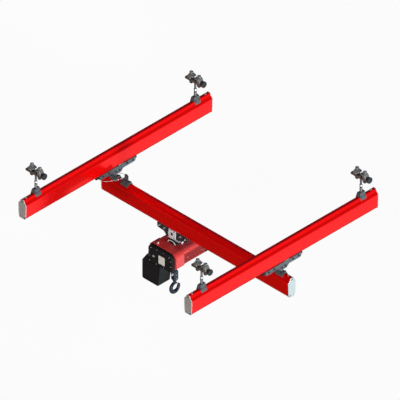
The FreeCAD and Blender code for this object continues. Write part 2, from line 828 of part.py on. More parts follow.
def link_plate():
    """The bright square plate on the trolley's front, with its hole and the flange along its foot."""
    outline = [
        ("-link_wide/2", "-link_low"),
        ("link_wide/2", "-link_low"),
        ("link_wide/2", "-link_top"),
        ("-link_wide/2", "-link_top"),
    ]
    holes = [("0", "-(link_low + link_top)/2", "link_hole")]
    square = prism("link_square", "XZ_Plane", outline, "link_thick", holes, [("link_round", outline)])
    flange = block(
        "link_flange", "link_wide/2 + flange_right", "flange_deep", "link_thick/2",
        x="(flange_right - link_wide/2)/2", y="(link_thick - flange_deep)/2",
        z="-link_low - link_thick/2 + 1",
    )
    front = f"{MIDDLE_Y} - trolley_gap/2 - trolley_thick - link_thick/2"
    node(put(fused("link_plate", [square, flange]), HOIST_X, front, BRIDGE_LOW), "link_plate")


def suspension():
    """The pin through the trolley's lug and the bracket on the hoist that hangs from it."""
    pin = rod("pin_bar", "pin_wide", "pin_long", x="-pin_long/2", z="-pin_low", turn=ALONG_X)
    head = rod("pin_head", "pin_head_wide", "pin_head_long", x="pin_long/2", z="-pin_low", turn=ALONG_X)
    node(put(fused("suspension_pin", [pin, head]), HOIST_X, MIDDLE_Y, BRIDGE_LOW), "suspension_pin")
    pieces = [block(
        "eye_base", "eye_base_wide", "eye_base_deep", "eye_base_thick + motor_inset/2",
        z="-hoist_top - motor_inset/2",
    )]
    for side, sign in SIDES:
        at = f"{sign}*(eye_gap + eye_thick)/2"
        pieces.append(block(
            f"eye_cheek_{side}", "eye_thick", "eye_deep", "hoist_top - pin_low", x=at, z="-hoist_top",
        ))
        start = f"{at} - eye_thick/2"
        pieces.append(rod(f"eye_top_{side}", "eye_deep", "eye_thick", x=start, z="-pin_low", turn=ALONG_X))
    hole = rod("eye_hole", "pin_wide + pin_play", "pin_long", x="-pin_long/2", z="-pin_low", turn=ALONG_X)
    arch = [
        ("-arch_wide/2", "0"),
        ("-arch_wide/2 + arch_leg", "0"),
        ("-arch_wide/2 + arch_leg", "arch_up/3"),
        ("-arch_wide/4", "arch_up*2/3"),
        ("arch_wide/4", "arch_up*2/3"),
        ("arch_wide/2 - arch_leg", "arch_up/3"),
        ("arch_wide/2 - arch_leg", "0"),
        ("arch_wide/2", "0"),
        ("arch_wide/2", "arch_up*2/3"),
        ("arch_wide/2 - arch_leg", "arch_up"),
        ("-arch_wide/2 + arch_leg", "arch_up"),
        ("-arch_wide/2", "arch_up*2/3"),
    ]
    brace = put(prism("eye_arch", "XZ_Plane", arch, "arch_thick"), y="-arch_at", z="-hoist_top")
    eye = cut("suspension_eye", fused("eye_whole", pieces + [brace]), hole)
    node(put(eye, HOIST_X, MIDDLE_Y, BRIDGE_LOW), "suspension_eye")


def housing_outline(inset):
    """The hoist's front outline, rounded more at the top, smaller all round by an inset."""
    left = f"-hoist_left + {inset}"
    right = f"hoist_wide - hoist_left - {inset}"
    low = f"{HOIST_LOW} + {inset}/2"
    top = f"-hoist_top - {inset}/2"
    return [(left, low), (right, low), (right, top), (left, top)]


def at_hoist(made, y="0"):
    """Places a piece in the frame of the hoist, under the bridge at the chain's axis."""
    return put(made, HOIST_X, f"{MIDDLE_Y} + {y}", BRIDGE_LOW)


def hoist():
    """The chain hoist's housings and covers, its blank plate and its plug."""
    outline = housing_outline("0")
    rounds = [("hoist_round", outline[2:]), ("hoist_corner", outline[:2])]
    gear = prism("gear_outer", "XZ_Plane", outline, "gear_front - gear_back", rounds=rounds)
    room = block(
        "gear_room", "hoist_wide - 2*hoist_round", "gear_front - gear_back - hoist_shell",
        "hoist_tall - 2*hoist_shell", x=HOIST_MID, y="-hoist_shell/2", z=f"{HOIST_LOW} + hoist_shell",
    )
    bolt = hexagon(
        "top_bolt", "top_bolt_wide", "top_bolt_tall + 2",
        x="-top_bolt_left", y="-(gear_front - gear_back)/2 + top_bolt_wide", z="-hoist_top - 2",
    )
    shell = fused("gear_shell", [cut("gear_hollow", gear, room), bolt])
    node(at_hoist(shell, "-(gear_front + gear_back)/2"), "gear_housing")
    node(at_hoist(motor_housing()), "motor_housing")
    back = housing_outline("rib_deep")
    rounds = [("hoist_round - rib_deep", back[2:]), ("hoist_corner", back[:2])]
    cap = prism("motor_cap", "XZ_Plane", back, "hoist_back - motor_back", rounds=rounds)
    node(at_hoist(cap, "(motor_back + hoist_back)/2"), "motor_end_cover")
    left = "-hoist_left + cover_inset"
    right = "hoist_wide - hoist_left - cover_inset*2"
    face = [(left, "-cover_low"), (right, "-cover_low"), (right, "-cover_top"), (left, "-cover_top")]
    rounds = [("cover_round", face[2:]), ("back_round", [face[1]])]
    cover = prism("gear_cover", "XZ_Plane", face, "cover_front - gear_front", rounds=rounds)
    bevel(cover, "gear_cover_bevel", "cover_bevel")
    node(at_hoist(cover, "-(cover_front + gear_front)/2"), "gear_cover")
    plate = block(
        "blank_plate", "plate_face_wide", "plate_face_thick", "plate_face_tall",
        x=f"{HOIST_X} + plate_face_right",
        y=f"{MIDDLE_Y} - cover_front - plate_face_thick/2",
        z=f"{BRIDGE_LOW} - plate_face_low - plate_face_tall/2",
    )
    node(plate, "blank_plate")


def bevel(body, name, size):
    """Cuts the front edge of a housing's outline back at 45 degrees."""
    base = body.Tip
    front = min(edge.CenterOfMass.y for edge in base.Shape.Edges)
    found = [
        f"Edge{number}" for number, edge in enumerate(base.Shape.Edges, start=1)
        if abs(edge.CenterOfMass.y - front) < SNAP
    ]
    chamfer = body.newObject("PartDesign::Chamfer", name)
    chamfer.Base = (base, found)
    chamfer.setExpression("Size", bound(size))
    doc.recompute()


def motor_housing():
    """The motor's ribbed housing, with a room for the chain inside, in the hoist's frame."""
    outline = housing_outline("motor_inset")
    rounds = [("hoist_round - motor_inset", outline[2:]), ("hoist_corner", outline[:2])]
    length = "motor_back + gear_back"
    body = prism("motor_outer", "XZ_Plane", outline, length, rounds=rounds)
    put(body, y="(motor_back - gear_back)/2")
    tools = [block(
        "chain_well", "chain_room", "chain_room", "hoist_tall - room_roof - motor_inset/2",
        z=HOIST_LOW,
    )]
    right = "hoist_wide - hoist_left - motor_inset"
    for number in range(3):
        up = f"{HOIST_LOW} + rib_low + {number}*rib_pitch"
        tools.append(block(
            f"motor_groove_{number}", "2*rib_deep", "motor_back - gear_back/2", "rib_tall",
            x=right, y="(motor_back + gear_back/2)/2", z=up,
        ))
    return cut("motor_housing", body, fused("motor_cuts", tools))


def container():
    """The chain container under the gear housing, open at the top where the chain falls in."""
    rim = "cover_low + box_play"
    left = "-hoist_left - box_play"
    outline = [
        ("-box_left", "-box_low"),
        ("-box_right", "-box_low"),
        ("box_flare", f"-({rim})"),
        (left, f"-({rim})"),
        (left, "-box_peak"),
        ("-box_left", "-box_shoulder"),
    ]
    inside = [
        ("-box_left + box_wall", "-box_low + box_wall"),
        ("-box_right - box_wall", "-box_low + box_wall"),
        ("box_flare - box_wall", f"-({rim}) + box_play"),
        (f"{left} - box_wall", f"-({rim}) + box_play"),
        (f"{left} - box_wall", "-box_peak - 2*box_wall"),
        ("-box_left + box_wall", "-box_shoulder - box_wall"),
    ]
    rounds = [("back_round", [outline[0]]), ("hoist_corner", [outline[5]])]
    outer = prism("container_outer", "XZ_Plane", outline, "cover_front - box_back", rounds=rounds)
    inner = prism("container_inner", "XZ_Plane", inside, "cover_front - box_back - 2*box_wall")
    made = cut("chain_container", outer, inner)
    node(at_hoist(made, "-(cover_front + box_back)/2"), "chain_container")
    strap = block(
        "container_bracket", "bracket_wide", "bracket_thick", "bracket_tall",
        x=f"{HOIST_X} - box_right - bracket_wide/2",
        y=f"{MIDDLE_Y} - box_back + bracket_thick/2",
        z=f"{BRIDGE_LOW} + {HOIST_LOW} + motor_inset/2 - bracket_tall",
    )
    node(strap, "container_bracket")


def link(name, up, turned):
    """One chain link centred at a height, lying in the XZ plane or turned into the YZ plane."""
    bend = "(chain_inner + chain_wire)/2"
    reach = f"(chain_pitch/2 + chain_wire/2 - {bend})"
    pieces = []
    for end, sign in (("low", -1), ("high", 1)):
        half = doc.addObject("Part::Torus", f"{name}_{end}")
        bind(half, Radius1=bend, Radius2="chain_wire/2")
        half.Angle3 = 180
        axes = (Vector(1, 0, 0), Vector(0, 0, sign), Vector(0, -sign, 0))
        put(half, z=f"{sign}*{reach}", turn=Rotation(*axes, "XYZ"))
        pieces.append(half)
    for side, sign in SIDES:
        pieces.append(rod(
            f"{name}_{side}", "chain_wire", f"2*{reach}", x=f"{sign}*{bend}", z=f"-{reach}",
        ))
    return put(fused(name, pieces), z=up, turn=QUARTER if turned else None)


def load_chain():
    """The fall of round-link chain from inside the hoist to the pin in the hook block."""
    links = []
    lowest = "-block_top - block_mouth_deep/2 + (chain_pitch - chain_wire)/2"
    count = int(value_of("(block_top - hoist_top - hoist_tall + chain_room_up)/chain_pitch")) + 1
    for number in range(count):
        up = f"{lowest} + {number}*chain_pitch"
        links.append(link(f"chain_link_{number:02d}", up, number % 2 == 1))
    chain = doc.addObject("Part::Compound", "load_chain")
    chain.Links = links
    node(at_hoist(chain), "load_chain")


def hook_block():
    """The block above the hook, with a mouth for the last link and the pin that holds it."""
    outline = [
        ("-block_wide/2", "-block_top - block_tall"),
        ("block_wide/2", "-block_top - block_tall"),
        ("block_wide/2", "-block_top"),
        ("-block_wide/2", "-block_top"),
    ]
    shell = prism("block_shell", "YZ_Plane", outline, "block_deep", rounds=[("block_round", outline)])
    mouth = rod("block_mouth", "block_mouth", "block_mouth_deep", z="-block_top - block_mouth_deep")
    pin_at = "-block_top - block_mouth_deep/2"
    pin = rod(
        "block_pin", "chain_wire", "block_wide + 2*block_pin_proud",
        y="-block_wide/2 - block_pin_proud", z=pin_at, turn=ALONG_Y,
    )
    node(at_hoist(fused("hook_block", [cut("block_cut", shell, mouth), pin])), "hook_block")


def hook():
    """The forged hook, its swivel collar and the latch across its throat."""
    top = "-block_top - block_tall - swivel_play"
    bowl = "-block_top - block_tall - hook_tall + hook_wide/2"
    ring = "((hook_wide - hook_neck)/2)"
    bend = doc.addObject("Part::Torus", "hook_bowl")
    bind(bend, Radius1=ring, Radius2="hook_neck/2", Angle3="hook_sweep")
    put(bend, z=bowl, turn=Rotation(Vector(0, 0, 1), Vector(0, -1, 0), Vector(1, 0, 0), "XYZ"))
    shank = rod("hook_shank", "hook_neck", f"({top}) - ({bowl}) - {ring}", z=f"{bowl} + {ring}")
    collar = rod("hook_collar", "collar_wide", "collar_tall", z=f"{top} - collar_tall")
    tip = doc.addObject("Part::Sphere", "hook_tip")
    bind(tip, Radius="hook_neck/2")
    put(tip, y=f"-{ring}*sin(hook_sweep)", z=f"{bowl} + {ring}*cos(hook_sweep)")
    pivot_up = f"{bowl} + {ring} - latch_down"
    span = "(ear_gap + 2*ear_thick)"
    pin = rod("hook_latch_pin", "latch_pin", span, x=f"-{span}/2", y="latch_out", z=pivot_up, turn=ALONG_X)
    ears = [
        block(
            f"hook_ear_{side}", "ear_thick", "latch_out - hook_neck/4 + ear_wide/2", "ear_wide",
            x=f"{sign}*(ear_gap + ear_thick)/2",
            y="(latch_out + hook_neck/4 + ear_wide/2)/2", z=f"{pivot_up} - ear_wide/2",
        )
        for side, sign in SIDES
    ]
    node(at_hoist(fused("hook", [bend, shank, collar, tip, pin] + ears)), "hook")
    node(at_hoist(latch(pivot_up)), "hook_latch")


def latch(pivot_up):
    """The sprung blade that closes the hook's throat, hung on the pin between the hook's ears."""
    barrel = rod(
        "latch_barrel", "latch_barrel", "latch_wide",
        x="-latch_wide/2", y="latch_out", z=pivot_up, turn=ALONG_X,
    )
    blade = block("latch_blade", "latch_wide", "latch_thick", "latch_long")
    frame = fused("latch_frame", [blade, rod("latch_root", "latch_thick", "latch_wide/2")])
    put(frame, y="latch_out", z=pivot_up, turn=Rotation(Vector(1, 0, 0), 180 + LATCH_LEAN))
    bore = rod(
        "latch_bore", "latch_pin + latch_play", "latch_wide + 2",
        x="-latch_wide/2 - 1", y="latch_out", z=pivot_up, turn=ALONG_X,
    )
    return cut("hook_latch", fused("latch_whole", [barrel, frame]), bore)


def checked():
    """Recomputes the document and stops at any object or shape that failed."""
    doc.recompute()
    for thing in doc.Objects:
        if "Invalid" in thing.State or "Error" in thing.State:
            raise RuntimeError(f"{thing.Label} failed: {thing.State}")
    for made in nodes:
        if made.Shape.isNull() or not made.Shape.isValid():
            raise RuntimeError(f"{made.Label} has no valid shape")


def main():
    runways()
    hangers()
    bridge()
    for side, x in (("left", "0"), ("right", "gauge")):
        carriage(side, x)
        safety_ropes(side, x)
    trolley()
    link_plate()
    suspension()
    hoist()
    container()
    load_chain()
    hook_block()
    hook()
    checked()
    os.makedirs("parts", exist_ok=True)
    for made in nodes:
        made.Shape.exportStep(f"parts/{made.Label}.step")
    print(len(nodes), "sub-parts written")


main()
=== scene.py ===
import json
import math

import bmesh
import bpy
from mathutils import Matrix, Vector


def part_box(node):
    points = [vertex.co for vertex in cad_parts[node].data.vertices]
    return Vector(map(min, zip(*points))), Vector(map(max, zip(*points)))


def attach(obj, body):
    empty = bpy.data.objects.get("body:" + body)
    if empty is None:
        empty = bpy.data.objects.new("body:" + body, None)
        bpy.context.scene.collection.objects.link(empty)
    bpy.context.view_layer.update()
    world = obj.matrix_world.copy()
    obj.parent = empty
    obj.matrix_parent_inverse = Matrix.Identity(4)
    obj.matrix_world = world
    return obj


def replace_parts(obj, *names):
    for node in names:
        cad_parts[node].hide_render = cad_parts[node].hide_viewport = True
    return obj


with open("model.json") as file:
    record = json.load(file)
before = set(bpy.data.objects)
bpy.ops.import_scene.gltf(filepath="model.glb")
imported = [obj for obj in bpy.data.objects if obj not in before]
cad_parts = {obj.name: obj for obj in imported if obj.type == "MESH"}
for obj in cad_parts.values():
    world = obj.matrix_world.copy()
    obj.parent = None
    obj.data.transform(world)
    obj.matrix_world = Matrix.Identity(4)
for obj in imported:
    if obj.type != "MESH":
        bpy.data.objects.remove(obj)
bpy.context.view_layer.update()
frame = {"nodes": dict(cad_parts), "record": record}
nodes = frame["nodes"]

# ---- places of the real thing, in metres, in the row frame ----
def middle(node, axis):
    """The middle of a CAD node along one axis."""
    low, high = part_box(node)
    return (low[axis] + high[axis]) / 2


SIDES = {"left": -1, "right": 1}
ENDS = {"front": -1, "back": 1}
RUNWAY_X = {side: middle(f"runway_{side}", 0) for side in SIDES}
HANGER_Y = {end: middle(f"beam_plate_{end}_left", 1) for end in ENDS}
RAIL_LOW, RAIL_TOP = (corner.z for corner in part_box("runway_left"))
BRIDGE_LOW, BRIDGE_TOP = (corner.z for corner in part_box("bridge_girder"))
BRIDGE_ENDS = [corner.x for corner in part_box("bridge_end_caps")]
RUNWAY_ENDS = [corner.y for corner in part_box("runway_end_caps")]
MIDDLE_Y = middle("bridge_girder", 1)
MIDDLE_X = (RUNWAY_X["left"] + RUNWAY_X["right"]) / 2
HOIST_X = middle("load_chain", 0)


# ---- materials ----
def socket(shader, name):
    return shader.inputs[name]


class Paint:
    """A node material that is built up step by step."""

    def __init__(self, name):
        self.material = bpy.data.materials.new(name)
        self.material.use_nodes = True
        self.tree = self.material.node_tree
        self.tree.nodes.clear()
        self.shader = self.add("ShaderNodeBsdfPrincipled")
        out = self.add("ShaderNodeOutputMaterial")
        self.join(self.shader.outputs[0], out.inputs["Surface"])
        self.where = self.add("ShaderNodeTexCoord").outputs["Object"]

    def add(self, kind, **values):
        made = self.tree.nodes.new(kind)
        for key, value in values.items():
            setattr(made, key, value)
        return made

    def join(self, a, b):
        self.tree.links.new(a, b)

    def set(self, **values):
        for key, value in values.items():
            self.shader.inputs[key.replace("_", " ")].default_value = value

    def noise(self, scale, detail=4.0, rough=0.55):
        made = self.add("ShaderNodeTexNoise")
        made.inputs["Scale"].default_value = scale
        made.inputs["Detail"].default_value = detail
        made.inputs["Roughness"].default_value = rough
        self.join(self.where, made.inputs["Vector"])
        return made.outputs["Fac"]

    def ramp(self, value, *stops):
        made = self.add("ShaderNodeValToRGB")
        ramp = made.color_ramp
        while len(ramp.elements) < len(stops):
            ramp.elements.new(0.5)
        for element, (at, colour) in zip(ramp.elements, stops):
            element.position = at
            element.color = (*colour, 1.0) if len(colour) == 3 else colour
        self.join(value, made.inputs["Fac"])
        return made.outputs["Color"]

    def range(self, value, low, high, start=0.0, end=1.0):
        made = self.add("ShaderNodeMapRange")
        for key, number in (("From Min", start), ("From Max", end), ("To Min", low), ("To Max", high)):
            made.inputs[key].default_value = number
        self.join(value, made.inputs["Value"])
        return made.outputs["Result"]

    def bump(self, height, strength, distance, radius=0.0):
        """Relief from a height, on edges rounded by a bevel where a radius is given."""
        made = self.add("ShaderNodeBump")
        made.inputs["Strength"].default_value = strength
        made.inputs["Distance"].default_value = distance
        self.join(height, made.inputs["Height"])
        if radius:
            bevel = self.add("ShaderNodeBevel", samples=4)
            bevel.inputs["Radius"].default_value = radius
            self.join(bevel.outputs[0], made.inputs["Normal"])
        self.join(made.outputs[0], self.shader.inputs["Normal"])


def shade(colour, factor):
    return tuple(min(1.0, c * factor) for c in colour)


def enamel(name, colour, rough=0.3, metallic=0.4, gloss=0.5, radius=0.0012, relief=0.04):
    """Powder coat whose gloss takes the paint's own colour, with a fine orange peel."""
    p = Paint(name)
    tone = p.noise(7.0, 3.0)
    mottled = p.ramp(tone, (0.3, shade(colour, 0.97)), (0.7, shade(colour, 1.03)))
    p.join(mottled, socket(p.shader, "Base Color"))
    p.join(p.range(p.noise(45.0, 3.0), rough - 0.03, rough + 0.04, 0.3, 0.7), socket(p.shader, "Roughness"))
    p.set(Metallic=metallic, Specular_IOR_Level=gloss)
    p.bump(p.noise(900.0, 2.0), relief, 0.0001, radius)
    return p.material


def metal(name, colour, rough=0.35, metallic=0.6, radius=0.0008, blotch=0.12, relief=0.08):
    """Plated or bare steel with a faint spangle."""
    p = Paint(name)
    tone = p.noise(38.0, 5.0, 0.65)
    p.join(
        p.ramp(tone, (0.35, shade(colour, 1 - blotch)), (0.65, shade(colour, 1 + blotch))),
        socket(p.shader, "Base Color"),
    )
    p.join(p.range(p.noise(120.0, 4.0), rough - 0.08, rough + 0.1, 0.3, 0.7), socket(p.shader, "Roughness"))
    p.set(Metallic=metallic)
    p.bump(p.noise(700.0, 3.0), relief, 0.0001, radius)
    return p.material


def plastic(name, colour, rough=0.5, radius=0.001, gloss=0.5, relief=0.12):
    """Moulded plastic or rubber with a fine spark-eroded texture."""
    p = Paint(name)
    tone = p.noise(18.0, 4.0)
    mottled = p.ramp(tone, (0.3, shade(colour, 0.92)), (0.7, shade(colour, 1.08)))
    p.join(mottled, socket(p.shader, "Base Color"))
    grain = p.range(p.noise(220.0, 3.0), rough - 0.06, rough + 0.06, 0.3, 0.7)
    p.join(grain, socket(p.shader, "Roughness"))
    p.set(Specular_IOR_Level=gloss)
    p.bump(p.noise(1600.0, 3.0), relief, 0.0002, radius)
    return p.material


LOOKS = {
    "rail_red": enamel("rail_red", (0.93, 0.003, 0.003), 0.20, 0.4, 0.06, 0.002),
    "cap_grey": metal("cap_grey", (0.58, 0.58, 0.565), 0.42, 0.6, blotch=0.03, relief=0.01),
    "zinc": metal("zinc", (0.40, 0.41, 0.41), 0.36, 0.6),
    "dark_zinc": metal("dark_zinc", (0.36, 0.35, 0.34), 0.4, 0.6),
    "plate_brown": metal("plate_brown", (0.13, 0.098, 0.08), 0.5, 0.3),
    "claw_grey": metal("claw_grey", (0.24, 0.25, 0.235), 0.42, 0.5),
    "carriage_grey": metal("carriage_grey", (0.115, 0.125, 0.135), 0.45, 0.4),
    "bolt_dark": metal("bolt_dark", (0.09, 0.09, 0.10), 0.45, 0.5),
    "rod_grey": metal("rod_grey", (0.14, 0.14, 0.14), 0.45, 0.5),
    "bright_plate": metal("bright_plate", (0.80, 0.80, 0.83), 0.5, 0.1, blotch=0.03, relief=0.02),
    "wheel": plastic("wheel", (0.02, 0.02, 0.022), 0.5),
    "rubber": plastic("rubber", (0.012, 0.012, 0.012), 0.75, gloss=0.3),
    "rope": metal("rope", (0.5, 0.5, 0.5), 0.4),
    "dark_steel": enamel("dark_steel", (0.035, 0.037, 0.04), 0.4, 0.2, 0.3),
    "pin_steel": metal("pin_steel", (0.85, 0.86, 0.87), 0.25, 0.7, blotch=0.04),
    "hoist_red": enamel("hoist_red", (0.82, 0.07, 0.065), 0.36, 0.15, 0.35, 0.002, 0.08),
    # a darker copy of the hoist's red: painted shade for the motor's lower side
    "motor_red": enamel("motor_red", (0.30, 0.020, 0.020), 0.45, 0.1, 0.15, 0.002, 0.08),
    "cover_black": plastic("cover_black", (0.013, 0.013, 0.014), 0.5, 0.002, 0.09),
    "plate_buff": metal("plate_buff", (0.92, 0.89, 0.82), 0.4, 0.1, blotch=0.03),
    "hook_paint": enamel("hook_paint", (0.016, 0.024, 0.038), 0.38, 0.15, 0.22),
    "chain_steel": metal("chain_steel", (0.42, 0.42, 0.43), 0.35),
}
slots = {row["node"]: row["material_slot"] for row in frame["record"]["subparts"]}
for name, thing in nodes.items():
    thing.data.materials.clear()
    thing.data.materials.append(LOOKS[slots[name]])
# looks that share a slot of the record with another look
# CAD nodes that look different from the rest of their slot
SPECIAL = {"link_plate": "bright_plate", "rail_clamps": "carriage_grey"}
for side in SIDES:
    for kind in ("carriage_beam", "carriage_trucks", "bridge_clamp", "rope_anchor"):
        SPECIAL[f"{kind}_{side}"] = "carriage_grey"
for name, look in SPECIAL.items():
    nodes[name].data.materials[0] = LOOKS[look]


# ---- shapes ----
def facing(origin, axis, spin=0.0):
    """A placement whose local z runs along an axis from an origin."""
    turn = Vector(axis).normalized().to_track_quat("Z", "Y").to_matrix().to_4x4()
    return Matrix.Translation(Vector(origin)) @ turn @ Matrix.Rotation(spin, 4, "Z")


def skin(mesh, rings, place, capped=True):
    """Joins rings of as many local points each into a solid, closed at both ends."""
    rows = [[mesh.verts.new(place @ Vector(point)) for point in ring] for ring in rings]
    count = len(rows[0])
    for low, high in zip(rows, rows[1:]):
        for at in range(count):
            ahead = (at + 1) % count
            mesh.faces.new((low[at], low[ahead], high[ahead], high[at]))
    if capped:
        mesh.faces.new(list(reversed(rows[0])))
        mesh.faces.new(rows[-1])
    else:
        for at in range(count):
            ahead = (at + 1) % count
            mesh.faces.new((rows[-1][at], rows[-1][ahead], rows[0][ahead], rows[0][at]))


def lathe(mesh, profile, place, sides=24, capped=True):
    """A solid of revolution about local z from its radius and height pairs."""
    rings = [
        [(radius * math.cos(angle), radius * math.sin(angle), height) for angle in turns(sides)]
        for radius, height in profile
    ]
    skin(mesh, rings, place, capped)


def turns(count, start=0.0):
    """Equal steps of one whole turn."""
    return [start + 2 * math.pi * number / count for number in range(count)]


def slab(mesh, outline, low, high, place, edge=0.0):
    """An outline between two heights, with its corners cut back by an edge."""
    steps = [(low, 0), (high, 0)]
    if edge:
        steps = [(low, edge), (low + edge, 0.0), (high - edge, 0.0), (high, edge)]
    skin(mesh, [[(x, y, height) for x, y in inset(outline, by)] for height, by in steps], place)


def inset(outline, by):
    """An outline moved inwards; it lists its points anticlockwise."""
    if not by:
        return list(outline)
    moved = []
    count = len(outline)
    for at in range(count):
        before, here, after = (Vector(outline[(at + step) % count]) for step in (-1, 0, 1))
        come = (here - before).normalized()
        leave = (after - here).normalized()
        normal = (Vector((-come.y, come.x)) + Vector((-leave.y, leave.x))).normalized()
        reach = by / max(0.35, normal.dot(Vector((-come.y, come.x))))
        moved.append(tuple(here + normal * reach))
    return moved


def rounded(outline, radius, steps=4):
    """An outline with every corner turned into an arc of about one radius."""
    points = []
    count = len(outline)
    for at in range(count):
        before, here, after = (Vector(outline[(at + step) % count]) for step in (-1, 0, 1))
        come = (here - before).normalized()
        leave = (after - here).normalized()
        turn = come.angle(leave)
        longest = 0.45 * min((here - before).length, (after - here).length)
        reach = min(radius * math.tan(turn / 2), longest)
        start, end = here - come * reach, here + leave * reach
        for step in range(steps + 1):
            share = step / steps
            bend = start * (1 - share) ** 2 + here * 2 * share * (1 - share) + end * share ** 2
            points.append(tuple(bend))
    return points


def oblong(wide, tall, x=0.0, y=0.0):
    """A rectangle's corners, anticlockwise."""
    return [(x + sx * wide / 2, y + sy * tall / 2) for sx, sy in ((-1, -1), (1, -1), (1, 1), (-1, 1))]


def nut(mesh, across, height, place, bore=0.0):
    """A hexagonal nut or head with chamfered corners, and a thread end in it where it has a bore."""
    flat = across * 0.46
    hexagon = [(math.cos(angle), math.sin(angle)) for angle in turns(6)]
    chamfer = height * 0.14
    rings = [
        [(x * radius, y * radius, up) for x, y in hexagon]
        for radius, up in (
            (flat, 0.0), (across / 2, chamfer), (across / 2, height - chamfer), (flat, height),
        )
    ]
    skin(mesh, rings, place)
    if bore:
        lathe(mesh, [(bore / 2, height), (bore / 2, height * 1.28), (bore * 0.38, height * 1.4)], place, 16)


def washer(mesh, wide, thick, place):
    """A round washer with broken edges."""
    r = wide / 2
    lathe(mesh, [(r - thick / 4, 0), (r, thick / 4), (r, thick * 3 / 4), (r - thick / 4, thick)], place)


def bolt(mesh, across, place, bore=0.0):
    """A bolt head or nut on its washer."""
    thick = across * 0.12
    washer(mesh, across * 1.35, thick, place)
    nut(mesh, across, across * 0.5, place @ Matrix.Translation((0, 0, thick)), bore)


def screw(mesh, wide, place):
    """A pan head with a hexagon socket."""
    r = wide / 2
    lathe(mesh, [(r, 0), (r, r * 0.5), (r * 0.82, r * 0.78), (r * 0.52, r * 0.84)], place, 18, False)
    socket_wall = [
        [(r * 0.52 * math.cos(a), r * 0.52 * math.sin(a), up) for a in turns(6)]
        for up in (r * 0.84, r * 0.3)
    ]
    skin(mesh, socket_wall, place)


def threaded(radius, low, high, pitch, deep):
    """The profile of a threaded rod, as a ring for each turn of the thread."""
    profile = [(radius - deep, low)]
    for number in range(int((high - low) / pitch)):
        start = low + number * pitch
        profile += [(radius - deep, start + pitch * 0.1), (radius, start + pitch * 0.5)]
    return profile + [(radius - deep, high)]


def piece(name, mesh, body, look, sharp=35.0):
    """Makes a mesh a piece of the crane: material, smooth shading up to sharp edges, and its body."""
    if isinstance(mesh, bmesh.types.BMesh):
        made = bpy.data.meshes.new(name)
        bmesh.ops.recalc_face_normals(mesh, faces=mesh.faces)
        mesh.to_mesh(made)
        mesh.free()
        mesh = made
    mesh.materials.append(LOOKS[look])
    thing = bpy.data.objects.new(name, mesh)
    bpy.context.scene.collection.objects.link(thing)
    mesh.shade_smooth()
    mesh.set_sharp_from_angle(angle=math.radians(sharp))
    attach(thing, body)
    return thing


# ---- rail ends ----
CAP_HALF = [(0.016, 0.198), (0.030, 0.171), (0.048, 0.149), (0.046, 0.068), (0.043, 0.020), (0.034, -0.002)]
CAP_THICK = 0.006


def cap_outline():
    """The rail's outline with the cap's lip, anticlockwise from the foot's left corner."""
    right_side = list(reversed(CAP_HALF))
    left_side = [(-across, up) for across, up in CAP_HALF]
    return rounded(right_side + left_side, 0.009, 5)


def end_cap(caps, screws, place):
    """A moulded cap with a raised rim and a screw at its head and at each foot; local z points outwards."""
    outline = cap_outline()
    skin(caps, [
        [(x, y, height) for x, y in inset(outline, by)]
        for height, by in (
            (-CAP_THICK, 0.0), (-0.001, 0.0), (0.0, 0.001), (0.0, 0.0045), (-0.0012, 0.0058),
        )
    ], place)
    for across, up in ((0.0, 0.176), (-0.026, 0.016), (0.026, 0.016)):
        at = place @ Matrix.Translation((across, up, -0.0014))
        wide = 0.0165 if across == 0.0 else 0.0125
        screw(screws, wide, at @ Matrix.Diagonal((1, 1, 0.19, 1)))


def upright(origin, outwards):
    """A placement at a rail's end: local z points outwards and local y up."""
    out = Vector(outwards)
    across = Vector((0, 0, 1)).cross(out)
    axes = Matrix((across, Vector((0, 0, 1)), out)).transposed().to_4x4()
    return Matrix.Translation(Vector(origin)) @ axes


def rail_ends():
    """The caps of all three rails, and the bolts through the crowns that hold the end stops."""
    caps, screws, bolts = bmesh.new(), bmesh.new(), bmesh.new()
    for x in RUNWAY_X.values():
        for y, way in zip(RUNWAY_ENDS, (-1, 1)):
            end_cap(caps, screws, upright((x, y, RAIL_LOW), (0, way, 0)))
            bolt(bolts, 0.015, facing((x, y - way * 0.048, RAIL_TOP), (0, 0, 1), 0.3), 0.006)
    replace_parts(piece("runway_caps", caps, "runways", "cap_grey"), "runway_end_caps")
    piece("runway_cap_screws", screws, "runways", "dark_steel")
    piece("runway_stop_bolts", bolts, "runways", "zinc")
    caps, screws, bolts = bmesh.new(), bmesh.new(), bmesh.new()
    for x, way in zip(BRIDGE_ENDS, (-1, 1)):
        end_cap(caps, screws, upright((x, MIDDLE_Y, BRIDGE_LOW), (way, 0, 0)))
        bolt(bolts, 0.015, facing((x - way * 0.048, MIDDLE_Y, BRIDGE_TOP), (0, 0, 1), 0.3), 0.006)
    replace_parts(piece("bridge_caps", caps, "bridge", "cap_grey"), "bridge_end_caps")
    piece("bridge_cap_screws", screws, "bridge", "dark_steel")
    piece("bridge_stop_bolts", bolts, "bridge", "zinc")


# ---- hangers ----
PLATE_LOW, PLATE_TOP = -0.030, -0.010
PLATE_RIGHT, PLATE_WIDE, PAD_WIDE = 0.089, 0.050, 0.020
PLUG_AT = -0.009
CLAW_INNER, CLAW_OUTER, CLAW_TOP = 0.0375, 0.0775, 0.038
STUD_AT, STUD_RADIUS, STUD_TOP = 0.048, 0.006, 0.062
STUD_THREAD = (0.00175, 0.0006)
HANGER_CLAMP_TOP = RAIL_TOP + 0.047
BARREL_TALL, ROD_RADIUS = 0.048, 0.010
ROD_THREAD = (0.0025, 0.0009)
SLEEVE_GAP = 0.010


